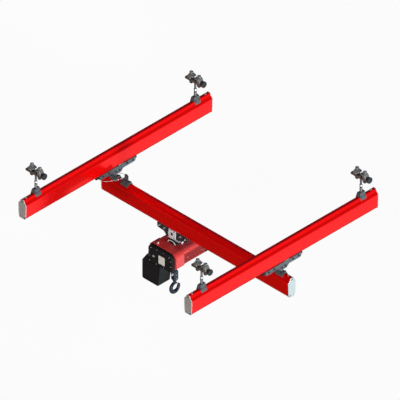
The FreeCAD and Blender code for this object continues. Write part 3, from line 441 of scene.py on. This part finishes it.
def claw(mesh, threads, lower, side, x, y):
    """A forged claw on the beam's flange, with its stud, washer and nuts."""
    nose = CLAW_INNER - 0.028
    outline = [
        (CLAW_INNER, PLATE_TOP), (CLAW_OUTER, PLATE_TOP), (CLAW_OUTER, 0.014),
        (CLAW_OUTER - 0.016, CLAW_TOP), (CLAW_INNER, CLAW_TOP), (nose, 0.030), (nose, 0.016),
        (CLAW_INNER, 0.016),
    ]
    upright_x = Matrix.Translation((x, y, 0)) @ Matrix.Rotation(math.pi / 2, 4, "X")
    if side < 0:
        upright_x = upright_x @ Matrix.Rotation(math.pi, 4, "Y")
    slab(mesh, rounded(outline, 0.006, 3), -0.026, 0.026, upright_x, 0.004)
    at = x + side * STUD_AT
    washer(mesh, 0.040, 0.003, facing((at, y, CLAW_TOP), (0, 0, 1)))
    nut(mesh, 0.038, 0.017, facing((at, y, CLAW_TOP + 0.003), (0, 0, 1), 0.2))
    stud = facing((at, y, 0), (0, 0, 1))
    lathe(threads, threaded(STUD_RADIUS, CLAW_TOP + 0.02, STUD_TOP, *STUD_THREAD), stud, 16)
    washer(lower, 0.042, 0.003, facing((at, y, PLATE_LOW), (0, 0, -1)))
    nut(lower, 0.038, 0.025, facing((at, y, PLATE_LOW - 0.003), (0, 0, -1), 0.4))
    lathe(lower, threaded(STUD_RADIUS, PLATE_LOW - 0.038, PLATE_LOW - 0.027, *STUD_THREAD), stud, 16)


def hanger(end, side):
    """One hanger's plate, claws and end plug, in place of its CAD plate and claws."""
    x, y = RUNWAY_X[side], HANGER_Y[end]
    grip, threads, plug = bmesh.new(), bmesh.new(), bmesh.new()
    for way in (-1, 1):
        claw(grip, threads, plug, way, x, y)
    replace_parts(piece(f"claws_{end}_{side}", grip, "runways", "claw_grey"), f"beam_claws_{end}_{side}")
    piece(f"claw_studs_{end}_{side}", threads, "runways", "zinc")
    plate = bmesh.new()
    flat_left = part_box(f"beam_plate_{end}_{side}")[0].x
    flat_right = x + PLATE_RIGHT
    flat_middle = (flat_right + flat_left) / 2 - x
    flat = rounded(oblong(flat_right - flat_left, PLATE_WIDE, flat_middle, 0.0), 0.003, 2)
    under_beam = Matrix.Translation((x, y, 0))
    slab(plate, flat, PLATE_LOW, PLATE_TOP, under_beam, 0.0015)
    slab(plate, oblong(PAD_WIDE, PLATE_WIDE - 0.002), PLATE_TOP - 0.001, 0.0, under_beam, 0.0005)
    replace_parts(piece(f"plate_{end}_{side}", plate, "runways", "plate_brown"), f"beam_plate_{end}_{side}")
    out = facing((flat_right, y, PLUG_AT), (1, 0, 0))
    lathe(plug, [
        (0.024, 0.0), (0.028, 0.002), (0.028, 0.008), (0.030, 0.010), (0.030, 0.022), (0.028, 0.0255),
        (0.021, 0.0255), (0.019, 0.020), (0.010, 0.020), (0.010, 0.0245), (0.008, 0.0255),
    ], out, 32)
    piece(f"end_plug_{end}_{side}", plug, "runways", "dark_steel")


def hanger_rods():
    """The threaded rods with their nuts, bright sleeves and barrels."""
    rods, sleeves = bmesh.new(), bmesh.new()
    for x in RUNWAY_X.values():
        for y in HANGER_Y.values():
            axis = facing((x, y, 0), (0, 0, 1))
            barrel_top = HANGER_CLAMP_TOP + BARREL_TALL
            lathe(rods, threaded(ROD_RADIUS, barrel_top, PLATE_LOW, *ROD_THREAD), axis, 20)
            nut(rods, 0.032, 0.013, facing((x, y, PLATE_LOW), (0, 0, -1), 0.2))
            lathe(rods, [
                (0.011, HANGER_CLAMP_TOP), (0.013, HANGER_CLAMP_TOP + 0.002), (0.013, barrel_top - 0.012),
                (0.0118, barrel_top - 0.010), (0.0118, barrel_top - 0.007), (0.013, barrel_top - 0.005),
                (0.013, barrel_top - 0.001), (0.012, barrel_top),
            ], axis, 28)
            low = barrel_top + SLEEVE_GAP
            lathe(sleeves, [
                (0.0128, low), (0.014, low + 0.001), (0.014, low + 0.006), (0.0132, low + 0.007),
                (0.0132, low + 0.009), (0.014, low + 0.010), (0.014, low + 0.015), (0.0128, low + 0.016),
            ], axis, 28)
            pin = facing((x, y - 0.016, HANGER_CLAMP_TOP + 0.022), (0, 1, 0))
            lathe(sleeves, [(0.0016, 0), (0.002, 0.0005), (0.002, 0.0315), (0.0016, 0.032)], pin, 12)
    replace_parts(piece("threaded_rods", rods, "runways", "rod_grey"), "hanger_rods")
    piece("rod_sleeves", sleeves, "runways", "pin_steel")


def rail_clamp_bolts():
    """The cross bolts that draw each rail clamp shut on its crown."""
    mesh = bmesh.new()
    for x in RUNWAY_X.values():
        for y in HANGER_Y.values():
            for step in (-1, 1):
                for way in (-1, 1):
                    seat = facing((x + way * 0.0228, y + step * 0.020, RAIL_TOP + 0.010), (way, 0, 0.30))
                    bolt(mesh, 0.014, seat, 0.006)
    piece("rail_clamp_bolts", mesh, "runways", "bolt_dark")


# ---- end carriages ----
TRUCK_BOLTS = [(-0.185, -0.028), (-0.115, -0.028), (0.115, -0.028), (0.185, -0.028)]
YOKE_BOLTS = [(-0.022, -0.056), (0.022, -0.056)]
CHEEK_FACE = 0.029
CLAMP_BOLT_STEP, CLAMP_FACE = 0.022, 0.0228


def clamp_bolts(mesh, x):
    """The bolts that draw a clamp shut on the bridge's crown, on both of its faces."""
    for step in (-CLAMP_BOLT_STEP, CLAMP_BOLT_STEP):
        for way in (-1, 1):
            seat = facing((x + step, MIDDLE_Y + way * CLAMP_FACE, BRIDGE_TOP + 0.003), (0, way, 0.3))
            bolt(mesh, 0.014, seat, 0.006)


def carriage(side):
    """Bolts and nuts on an end carriage, its hanger and its clamp on the bridge."""
    x = RUNWAY_X[side]
    mesh = bmesh.new()
    for way in (-1, 1):
        for y, up in TRUCK_BOLTS + YOKE_BOLTS:
            at = (x + way * CHEEK_FACE, MIDDLE_Y + y, RAIL_LOW + up)
            bolt(mesh, 0.017, facing(at, (way, 0, 0), 0.2), 0.008)
    clamp_bolts(mesh, x)
    clamp_bolts(mesh, middle(f"rope_anchor_{side}", 0))
    piece(f"carriage_bolts_{side}", mesh, "bridge", "bolt_dark")
    joint = bmesh.new()
    low = BRIDGE_TOP + 0.020
    axis = facing((x, MIDDLE_Y, low), (0, 0, 1))
    nut(joint, 0.040, 0.014, axis, 0)
    lathe(joint, [(0.0125, 0.013), (0.018, 0.0145), (0.018, 0.017), (0.0125, 0.0185), (0.010, 0.021)], axis)
    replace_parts(piece(f"ball_nut_{side}", joint, "bridge", "zinc"), f"bridge_hanger_{side}")


# ---- trolley and suspension ----
def trolley():
    """Bolts on the trolley's side plates, and the link plate's screws and bush."""
    mesh = bmesh.new()
    for way in (-1, 1):
        face = MIDDLE_Y + way * 0.030
        for across in (-0.160, -0.098, 0.098, 0.160):
            bolt(mesh, 0.017, facing((HOIST_X + across, face, BRIDGE_LOW - 0.026), (0, way, 0), 0.2), 0.008)
    piece("trolley_bolts", mesh, "hoist_trolley", "zinc")
    corner = bmesh.new()
    plate_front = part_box("link_plate")[0].y + 0.003
    for across in (-0.034, 0.034):
        for up in (-0.011, -0.073):
            screw(corner, 0.009, facing((HOIST_X + across, plate_front, BRIDGE_LOW + up), (0, -1, 0)))
    piece("link_plate_screws", corner, "hoist_trolley", "dark_steel")
    hole = facing((HOIST_X, MIDDLE_Y - 0.030, BRIDGE_LOW - 0.042), (0, -1, 0))
    bush = bmesh.new()
    lathe(bush, [(0.0149, 0.0), (0.0149, 0.0075), (0.0125, 0.0075), (0.0125, 0.001)], hole, 32)
    piece("link_plate_bush", bush, "hoist_trolley", "rubber")


HOIST_TOP = BRIDGE_LOW - 0.136
ARCH_HALF, ARCH_UP, ARCH_LEG, ARCH_THICK = 0.047, 0.026, 0.018, 0.008


def suspension_arch():
    """The bright bent strap over the hoist's top, in front of the suspension pin."""
    outer = [(ARCH_HALF * math.cos(a), ARCH_UP * math.sin(a)) for a in arc_steps()]
    half, tall = ARCH_HALF - ARCH_THICK, ARCH_UP - ARCH_THICK
    inner = [(half * math.cos(a), tall * math.sin(a)) for a in arc_steps()]
    outline = [(-ARCH_HALF, -ARCH_LEG)] + [(-x, y) for x, y in outer] + [(ARCH_HALF, -ARCH_LEG)]
    outline += [(half, -ARCH_LEG)] + inner + [(-half, -ARCH_LEG)]
    strap = bmesh.new()
    place = upright((HOIST_X, MIDDLE_Y - 0.033, HOIST_TOP), (0, -1, 0))
    slab(strap, list(reversed(outline)), 0.0, ARCH_THICK, place)
    piece("suspension_arch", strap, "hoist", "bright_plate")


def arc_steps(count=12):
    """Angles of a half turn, from one side to the other."""
    return [math.pi * number / count for number in range(count + 1)]


# ---- hoist ----
# size and spacing of the darker red strips that paint shade on the motor's lower side
SHADE_PANEL_MIDDLE, SHADE_PANEL_STRIP, SHADE_PANEL_PITCH = 0.056, 0.031, 0.034
TOP_BOLT_X, TOP_BOLT_Y = -0.081, -0.127
PLUG_X, PLUG_DOWN = -0.080, 0.245
COVER_SCREWS = [
    (-0.5, -0.5), (-0.17, -0.5), (0.17, -0.5), (0.5, -0.5), (0.5, -0.15), (0.5, 0.2), (0.42, 0.42),
    (0.14, 0.5), (-0.14, 0.5), (-0.42, 0.42), (-0.5, 0.2), (-0.5, -0.15),
]


def hoist():
    """Screws, plugs, darker red strips of painted shade on the motor's side, slats and the chain guide of
    the hoist.
    """
    low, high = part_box("gear_cover")
    front = low.y
    centre_x, centre_z = (low.x + high.x) / 2, (low.z + high.z) / 2
    wide, tall = high.x - low.x, high.z - low.z
    screws = bmesh.new()
    for across, up in COVER_SCREWS:
        at = (centre_x + across * (wide - 0.034), front + 0.0005, centre_z + up * (tall - 0.030))
        screw(screws, 0.009, facing(at, (0, -1, 0)))
    plate_low, plate_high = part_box("blank_plate")
    for x in (plate_low.x + 0.006, plate_high.x - 0.006):
        for z in (plate_low.z + 0.006, plate_high.z - 0.006):
            rivet = facing((x, plate_low.y, z), (0, -1, 0))
            lathe(screws, [(0.0024, 0), (0.0024, 0.0004), (0.0012, 0.0011)], rivet, 12)
    piece("cover_screws", screws, "hoist", "dark_zinc")
    top = bmesh.new()
    seat = facing((HOIST_X + TOP_BOLT_X, MIDDLE_Y + TOP_BOLT_Y, HOIST_TOP), (0, 0, 1))
    lathe(top, [
        (0.0112, 0), (0.0114, 0.0005), (0.0114, 0.0125), (0.0096, 0.0145), (0.005, 0.0145),
    ], seat, 28)
    piece("top_bolt_cap", top, "hoist", "pin_steel")
    plug = bmesh.new()
    at = facing((HOIST_X + PLUG_X, front + 0.001, BRIDGE_LOW - PLUG_DOWN), (0, -1, 0))
    lathe(plug, [
        (0.0125, 0), (0.0125, 0.0025), (0.0112, 0.0038), (0.0085, 0.0038), (0.0078, 0.0022),
    ], at, 32)
    piece("cover_plug", plug, "hoist", "zinc")
    rim = bmesh.new()
    outline = rounded(oblong(wide - 0.018, tall - 0.016), 0.040, 6)
    place = Matrix.Translation((centre_x, front, centre_z)) @ Matrix.Rotation(math.pi / 2, 4, "X")
    rings = [
        [(x, y, height) for x, y in inset(outline, by)]
        for height, by in ((-0.001, 0.0), (0.0008, 0.0004), (0.0008, 0.0032), (-0.001, 0.0036))
    ]
    skin(rim, rings, place, False)
    piece("cover_rim", rim, "hoist", "cover_black")
    # darker red strips over the motor's side: painted shade on its lower part
    housing_low, housing_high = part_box("motor_housing")
    side = bmesh.new()
    shade_panel_y = (housing_low.y + housing_high.y) / 2
    shade_panel_long = housing_high.y - housing_low.y - 0.012
    at = upright((housing_high.x, shade_panel_y, housing_low.z + SHADE_PANEL_MIDDLE), (1, 0, 0))
    for number in (-1, 0, 1):
        strip_at = at @ Matrix.Translation((0, number * SHADE_PANEL_PITCH, 0))
        slab(side, rounded(oblong(shade_panel_long, SHADE_PANEL_STRIP), 0.004, 3), -0.001, 0.003, strip_at, 0.001)
    piece("motor_shade_panel", side, "hoist", "motor_red")
    bolts = bmesh.new()
    for across in (-0.085, 0.085):
        screw(bolts, 0.009, at @ Matrix.Translation((across, 0, 0.003)))
    back_low, back_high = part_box("motor_end_cover")
    for x in (back_low.x + 0.030, back_high.x - 0.030):
        for z in (back_low.z + 0.022, back_high.z - 0.030):
            screw(bolts, 0.011, facing((x, back_high.y, z), (0, 1, 0)))
    piece("motor_screws", bolts, "hoist", "zinc")
    vents = bmesh.new()
    back_middle = (back_low.x + back_high.x) / 2
    slat = rounded(oblong(0.180, 0.006), 0.0028, 3)
    for number in range(7):
        z = back_low.z + 0.036 + number * 0.012
        slab(vents, slat, -0.001, 0.0025, upright((back_middle, back_high.y, z), (0, 1, 0)), 0.0008)
    piece("fan_slats", vents, "hoist", "cover_black")
    guide = bmesh.new()
    under = facing((HOIST_X, MIDDLE_Y, housing_low.z), (0, 0, -1))
    lathe(guide, [
        (0.032, 0), (0.032, 0.004), (0.024, 0.012), (0.0125, 0.012), (0.0125, 0.0),
    ], under, 32, False)
    piece("chain_guide", guide, "hoist", "rubber")


def container():
    """The container's pressed ribs and the bolts of its bracket."""
    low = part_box("chain_container")[0]
    bracket_low, bracket_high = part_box("container_bracket")
    across = middle("container_bracket", 0)
    mesh = bmesh.new()
    for up in (0.016, 0.060):
        bolt(mesh, 0.014, facing((across, bracket_high.y, bracket_low.z + up), (0, 1, 0)), 0.006)
    piece("bracket_bolts", mesh, "hoist", "zinc")
    ribs = bmesh.new()
    for up in (0.022, 0.150):
        outline = rounded(oblong(0.110, 0.007), 0.0033, 3)
        at = upright((low.x + 0.090, low.y, low.z + up), (0, -1, 0))
        slab(ribs, outline, -0.001, 0.0025, at, 0.001)
    piece("container_ribs", ribs, "hoist", "cover_black")


HOOK_RING, HOOK_NECK, BOWL_SWELL = 0.0485, 0.014, 0.005
HOOK_SWEEP = math.radians(280.0)
BOWL_STEPS, BOWL_INSET = 36, 0.0003
BLOCK_PIN_DOWN, BLOCK_BOLT_DOWN = 0.457, 0.478


def hook_bowl():
    """The forged hook's thicker bowl, swelling inwards from the round bar between its shank and its tip."""
    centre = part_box("hook")[0].z + HOOK_RING + HOOK_NECK
    mesh = bmesh.new()
    rings = []
    for number in range(1, BOWL_STEPS):
        sweep = HOOK_SWEEP * number / BOWL_STEPS
        radius = HOOK_NECK + BOWL_SWELL * math.sin(math.pi * number / BOWL_STEPS) ** 2
        reach = HOOK_RING + HOOK_NECK - BOWL_INSET - radius
        out = Vector((0, -math.sin(sweep), math.cos(sweep)))
        middle_at = Vector((HOIST_X, MIDDLE_Y, centre)) + out * reach
        rings.append([
            middle_at + out * (radius * math.cos(a)) + Vector((radius * math.sin(a), 0, 0))
            for a in turns(24)
        ])
    skin(mesh, rings, Matrix.Identity(4))
    piece("hook_bowl", mesh, "hook", "hook_paint")


def hook_details():
    """Pin caps and screws of the hook block, its shim and the bright bolt on its front."""
    low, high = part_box("hook_block")
    mesh = bmesh.new()
    for way, y in ((-1, low.y), (1, high.y)):
        lathe(mesh, [(0.0055, -0.0015), (0.0055, 0.0012), (0.004, 0.0022)],
              facing((HOIST_X, y - way * 0.002, BRIDGE_LOW - BLOCK_PIN_DOWN), (0, way, 0)), 20)
    for z in (low.z + 0.022, low.z + 0.058):
        for x, way in ((low.x, -1), (high.x, 1)):
            screw(mesh, 0.010, facing((x, MIDDLE_Y, z), (way, 0, 0)))
    piece("block_screws", mesh, "hook_block", "zinc")
    collar = bmesh.new()
    seat = facing((HOIST_X, low.y + 0.001, BRIDGE_LOW - BLOCK_BOLT_DOWN), (0, -1, 0))
    lathe(collar, [
        (0.012, 0), (0.012, 0.0115), (0.0105, 0.013), (0.0065, 0.013), (0.0055, 0.0105),
    ], seat, 28)
    piece("block_collar_bolt", collar, "hook_block", "pin_steel")
    seam = bmesh.new()
    ring = rounded(oblong(high.x - low.x - 0.006, 0.036), 0.008, 4)
    slab(seam, ring, -0.0025, 0.0002, Matrix.Translation((HOIST_X, MIDDLE_Y, low.z)), 0.0004)
    piece("block_shim", seam, "hook_block", "dark_steel")


# ---- safety ropes ----
ROPE_WIDE = 0.0045
ANCHOR_AT = 0.136
FERRULE_UP = 0.070
FERRULE_FACE = -0.017
BOSS_LOW = 0.096
BOSS_Y = -0.206
LONG_ROUTE = [
    (0.0, BOSS_Y, BOSS_LOW),
    (0.0, BOSS_Y, BOSS_LOW - 0.022),
    (0.018, BOSS_Y + 0.004, BOSS_LOW - 0.040),
    (0.048, BOSS_Y + 0.018, BOSS_LOW - 0.038),
    (0.080, BOSS_Y + 0.050, BOSS_LOW - 0.036),
    (ANCHOR_AT - 0.031, -0.112, FERRULE_UP - 0.008),
    (ANCHOR_AT - 0.006, -0.072, FERRULE_UP - 0.003),
    (ANCHOR_AT, FERRULE_FACE - 0.024, FERRULE_UP),
    (ANCHOR_AT, FERRULE_FACE, FERRULE_UP),
]
LOOP_LOW = 0.053
SHORT_ROUTE = [
    (CHEEK_FACE, 0.0, LOOP_LOW),
    (CHEEK_FACE + 0.022, 0.0, LOOP_LOW),
    (ANCHOR_AT - 0.053, 0.0, FERRULE_UP + 0.002),
    (ANCHOR_AT - 0.022, 0.0, FERRULE_UP + 0.002),
]
STRANDS = 6


def centreline(name, route):
    """The smooth line that has a route's points as its control points, read back as close points."""
    data = bpy.data.curves.new(name, "CURVE")
    data.dimensions = "3D"
    data.resolution_u = 24
    spline = data.splines.new("NURBS")
    spline.points.add(len(route) - 1)
    for point, place in zip(spline.points, route):
        point.co = (*place, 1.0)
    spline.order_u = 3
    spline.use_endpoint_u = True
    thing = bpy.data.objects.new(name, data)
    read = bpy.data.meshes.new_from_object(thing)
    points = [vertex.co.copy() for vertex in read.vertices]
    bpy.data.meshes.remove(read)
    bpy.data.objects.remove(thing)
    bpy.data.curves.remove(data)
    return points


def strand(mesh, points, start, offset, radius, lay):
    """One strand wound round a line of points: a thin tube at an offset from it."""
    side = Vector((0, 0, 1)).cross(points[1] - points[0])
    if side.length < 1e-9:
        side = Vector((1, 0, 0))
    side.normalize()
    gone = 0.0
    rings = []
    for at, point in enumerate(points):
        ahead = points[min(at + 1, len(points) - 1)] - points[max(at - 1, 0)]
        ahead.normalize()
        side = (side - ahead * side.dot(ahead)).normalized()
        other = ahead.cross(side)
        if at:
            gone += (point - points[at - 1]).length
        angle = start + 2 * math.pi * gone / lay
        centre = point + (side * math.cos(angle) + other * math.sin(angle)) * offset
        rings.append([
            centre + (side * math.cos(a) + other * math.sin(a)) * radius for a in turns(6)
        ])
    skin(mesh, rings, Matrix.Identity(4))


def safety_ropes(side):
    """A wire rope from a carriage's front end to its anchor, and a short one from its middle."""
    sign = -SIDES[side]
    for which, route in (("rope", LONG_ROUTE), ("loop", SHORT_ROUTE)):
        placed = [
            (RUNWAY_X[side] + sign * across, MIDDLE_Y + along, BRIDGE_TOP + up)
            for across, along, up in route
        ]
        points = centreline(f"{which}_line_{side}", placed)
        mesh = bmesh.new()
        for angle in turns(STRANDS):
            strand(mesh, points, angle, ROPE_WIDE / 3, ROPE_WIDE / 6, 0.028)
        strand(mesh, points, 0.0, 0.0, ROPE_WIDE / 6, 0.028)
        made = piece(f"wire_{which}_{side}", mesh, "bridge", "rope", 60.0)
        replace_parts(made, f"safety_{which}_{side}")


rail_ends()
for end in ENDS:
    for side in SIDES:
        hanger(end, side)
hanger_rods()
rail_clamp_bolts()
for side in SIDES:
    carriage(side)
    safety_ropes(side)
trolley()
suspension_arch()
hoist()
container()
hook_details()
hook_bowl()

# ---- camera ----
crane = Vector((MIDDLE_X + 0.001, MIDDLE_Y, -0.407))
back = Vector((1, -1, 1)).normalized()
right = Vector((1, 1, 0)).normalized()
up = back.cross(right)
lens = bpy.data.cameras.new("camera")
lens.type = "ORTHO"
lens.ortho_scale = 3.495
lens.clip_end = 60.0
camera = bpy.data.objects.new("camera", lens)
bpy.context.scene.collection.objects.link(camera)
camera.location = crane + right * 0.0131 + up * 0.0957 + back * 12.0
camera.rotation_euler = (-back).to_track_quat("-Z", "Y").to_euler()
bpy.context.scene.camera = camera

# ---- studio ----
floor_mesh = bmesh.new()
bmesh.ops.create_grid(floor_mesh, x_segments=1, y_segments=1, size=40.0)
floor_data = bpy.data.meshes.new("floor")
floor_mesh.to_mesh(floor_data)
floor_mesh.free()
floor = bpy.data.objects.new("floor", floor_data)
floor.location = (MIDDLE_X, MIDDLE_Y, -3.4)
bpy.context.scene.collection.objects.link(floor)
pale = Paint("floor_pale")
tone = pale.ramp(pale.noise(0.4, 2.0), (0.3, (0.955, 0.955, 0.955)), (0.7, (0.975, 0.975, 0.975)))
glow = pale.add("ShaderNodeEmission")
pale.join(tone, glow.inputs["Color"])
matt = pale.add("ShaderNodeBsdfDiffuse")
matt.inputs["Color"].default_value = (0.30, 0.30, 0.30, 1.0)
sight = pale.add("ShaderNodeLightPath")
both = pale.add("ShaderNodeMixShader")
pale.join(sight.outputs["Is Camera Ray"], both.inputs[0])
pale.join(matt.outputs[0], both.inputs[1])
pale.join(glow.outputs[0], both.inputs[2])
pale.join(both.outputs[0], [n for n in pale.tree.nodes if n.type == "OUTPUT_MATERIAL"][0].inputs["Surface"])
floor_data.materials.append(pale.material)
floor.visible_glossy = False
floor.visible_diffuse = False


def sun(name, strength, direction, softness, colour=(1, 1, 1)):
    """A far softbox that lights the crane from a direction."""
    light = bpy.data.lights.new(name, "SUN")
    light.energy = strength
    light.angle = math.radians(softness)
    light.color = colour
    thing = bpy.data.objects.new(name, light)
    bpy.context.scene.collection.objects.link(thing)
    thing.rotation_euler = (-Vector(direction).normalized()).to_track_quat("-Z", "Y").to_euler()
    return thing


key = sun("key", 3.235, (0.884, -0.457, 0.096), 4.0)
clear = bpy.data.collections.new("lets_the_key_light_through")
for name in ("runway_right", "runway_caps"):
    clear.objects.link(nodes.get(name) or bpy.data.objects[name])
for entry in clear.collection_objects:
    entry.light_linking.link_state = "EXCLUDE"
key.light_linking.blocker_collection = clear

world = bpy.data.worlds.new("world")
bpy.context.scene.world = world
world.use_nodes = True
sky = world.node_tree
ground = sky.nodes["Background"]
ground.inputs["Strength"].default_value = 1.0


def sky_node(kind, **values):
    made = sky.nodes.new(kind)
    for key, value in values.items():
        setattr(made, key, value)
    return made


towards = sky_node("ShaderNodeSeparateXYZ")
sky.links.new(sky_node("ShaderNodeTexCoord").outputs["Generated"], towards.inputs[0])


def sky_ramp(axis, *stops):
    """Light that changes with one part of the direction, from -1 to 1."""
    place = sky_node("ShaderNodeMapRange")
    place.inputs["From Min"].default_value = -1.0
    sky.links.new(towards.outputs[axis], place.inputs["Value"])
    ramp = sky_node("ShaderNodeValToRGB")
    while len(ramp.color_ramp.elements) < len(stops):
        ramp.color_ramp.elements.new(0.5)
    for element, (at, colour) in zip(ramp.color_ramp.elements, stops):
        element.position = (at + 1) / 2
        element.color = (*colour, 1.0)
    sky.links.new(place.outputs[0], ramp.inputs[0])
    return ramp.outputs[0]


def sky_mix(kind, factor, a, b):
    made = sky_node("ShaderNodeMix", data_type="RGBA", blend_type=kind)
    ends = [s for s in made.inputs if s.type == "RGBA"]
    for value, target in ((factor, made.inputs[0]), (a, ends[0]), (b, ends[1])):
        if hasattr(value, "links"):
            sky.links.new(value, target)
        else:
            target.default_value = value
    return [s for s in made.outputs if s.type == "RGBA"][0]


def product(*parts):
    """Several parts of the sky multiplied together."""
    result = parts[0]
    for part in parts[1:]:
        result = sky_mix("MULTIPLY", 1.0, result, part)
    return result


def grey(*stops):
    """Stops of plain brightness."""
    return [(at, (value, value, value)) for at, value in stops]


# what gloss mirrors: a dim warm room, a cool wall on the right, a low warm strip in front, a blue ceiling
room = sky_ramp("Z", (-1.0, (0.20, 0.13, 0.08)), (-0.3, (0.20, 0.13, 0.08)), (-0.1, (0.03, 0.03, 0.03)))
wall = product(
    sky_ramp("X", *grey((0.2, 0.0), (0.5, 1.0))),
    sky_ramp(
        "Z", (-0.85, (0.5, 0.6, 0.7)), (-0.62, (1.2, 1.8, 2.0)), (-0.35, (1.2, 1.8, 2.0)),
        (-0.15, (1.0, 1.0, 1.0)), (0.20, (1.0, 1.0, 1.0)), (0.32, (0.30, 0.32, 0.35)),
        (0.58, (0.28, 0.3, 0.4)), (0.85, (0.15, 0.2, 0.4)),
    ),
)
strip = product(
    sky_ramp("Y", *grey((-1.0, 1.0), (-0.70, 1.0), (-0.60, 0.0))),
    sky_ramp("Z", *grey(
        (-0.40, 0.0), (-0.20, 1.3), (-0.02, 1.3), (0.06, 0.0), (0.30, 0.15), (0.50, 0.15), (0.7, 0.0),
    )),
    (0.95, 0.7, 0.65, 1.0),
)
ceiling = product(
    sky_ramp("Z", *grey((0.38, 0.0), (0.577, 1.0))),
    sky_ramp("X", *grey((-0.1, 1.0), (0.2, 0.3))),
    (0.17, 0.22, 0.48, 1.0),
)
mirror = room
for part in (wall, strip, ceiling):
    mirror = sky_mix("ADD", 1.0, mirror, part)
soft = (0.13, 0.13, 0.135, 1.0)
rays = sky_node("ShaderNodeLightPath")
lit = sky_mix("MIX", rays.outputs["Is Diffuse Ray"], mirror, soft)
seen = sky_mix("MIX", rays.outputs["Is Camera Ray"], lit, (0.93, 0.93, 0.93, 1.0))
sky.links.new(seen, ground.inputs["Color"])
bpy.context.scene.view_settings.view_transform = "Standard"
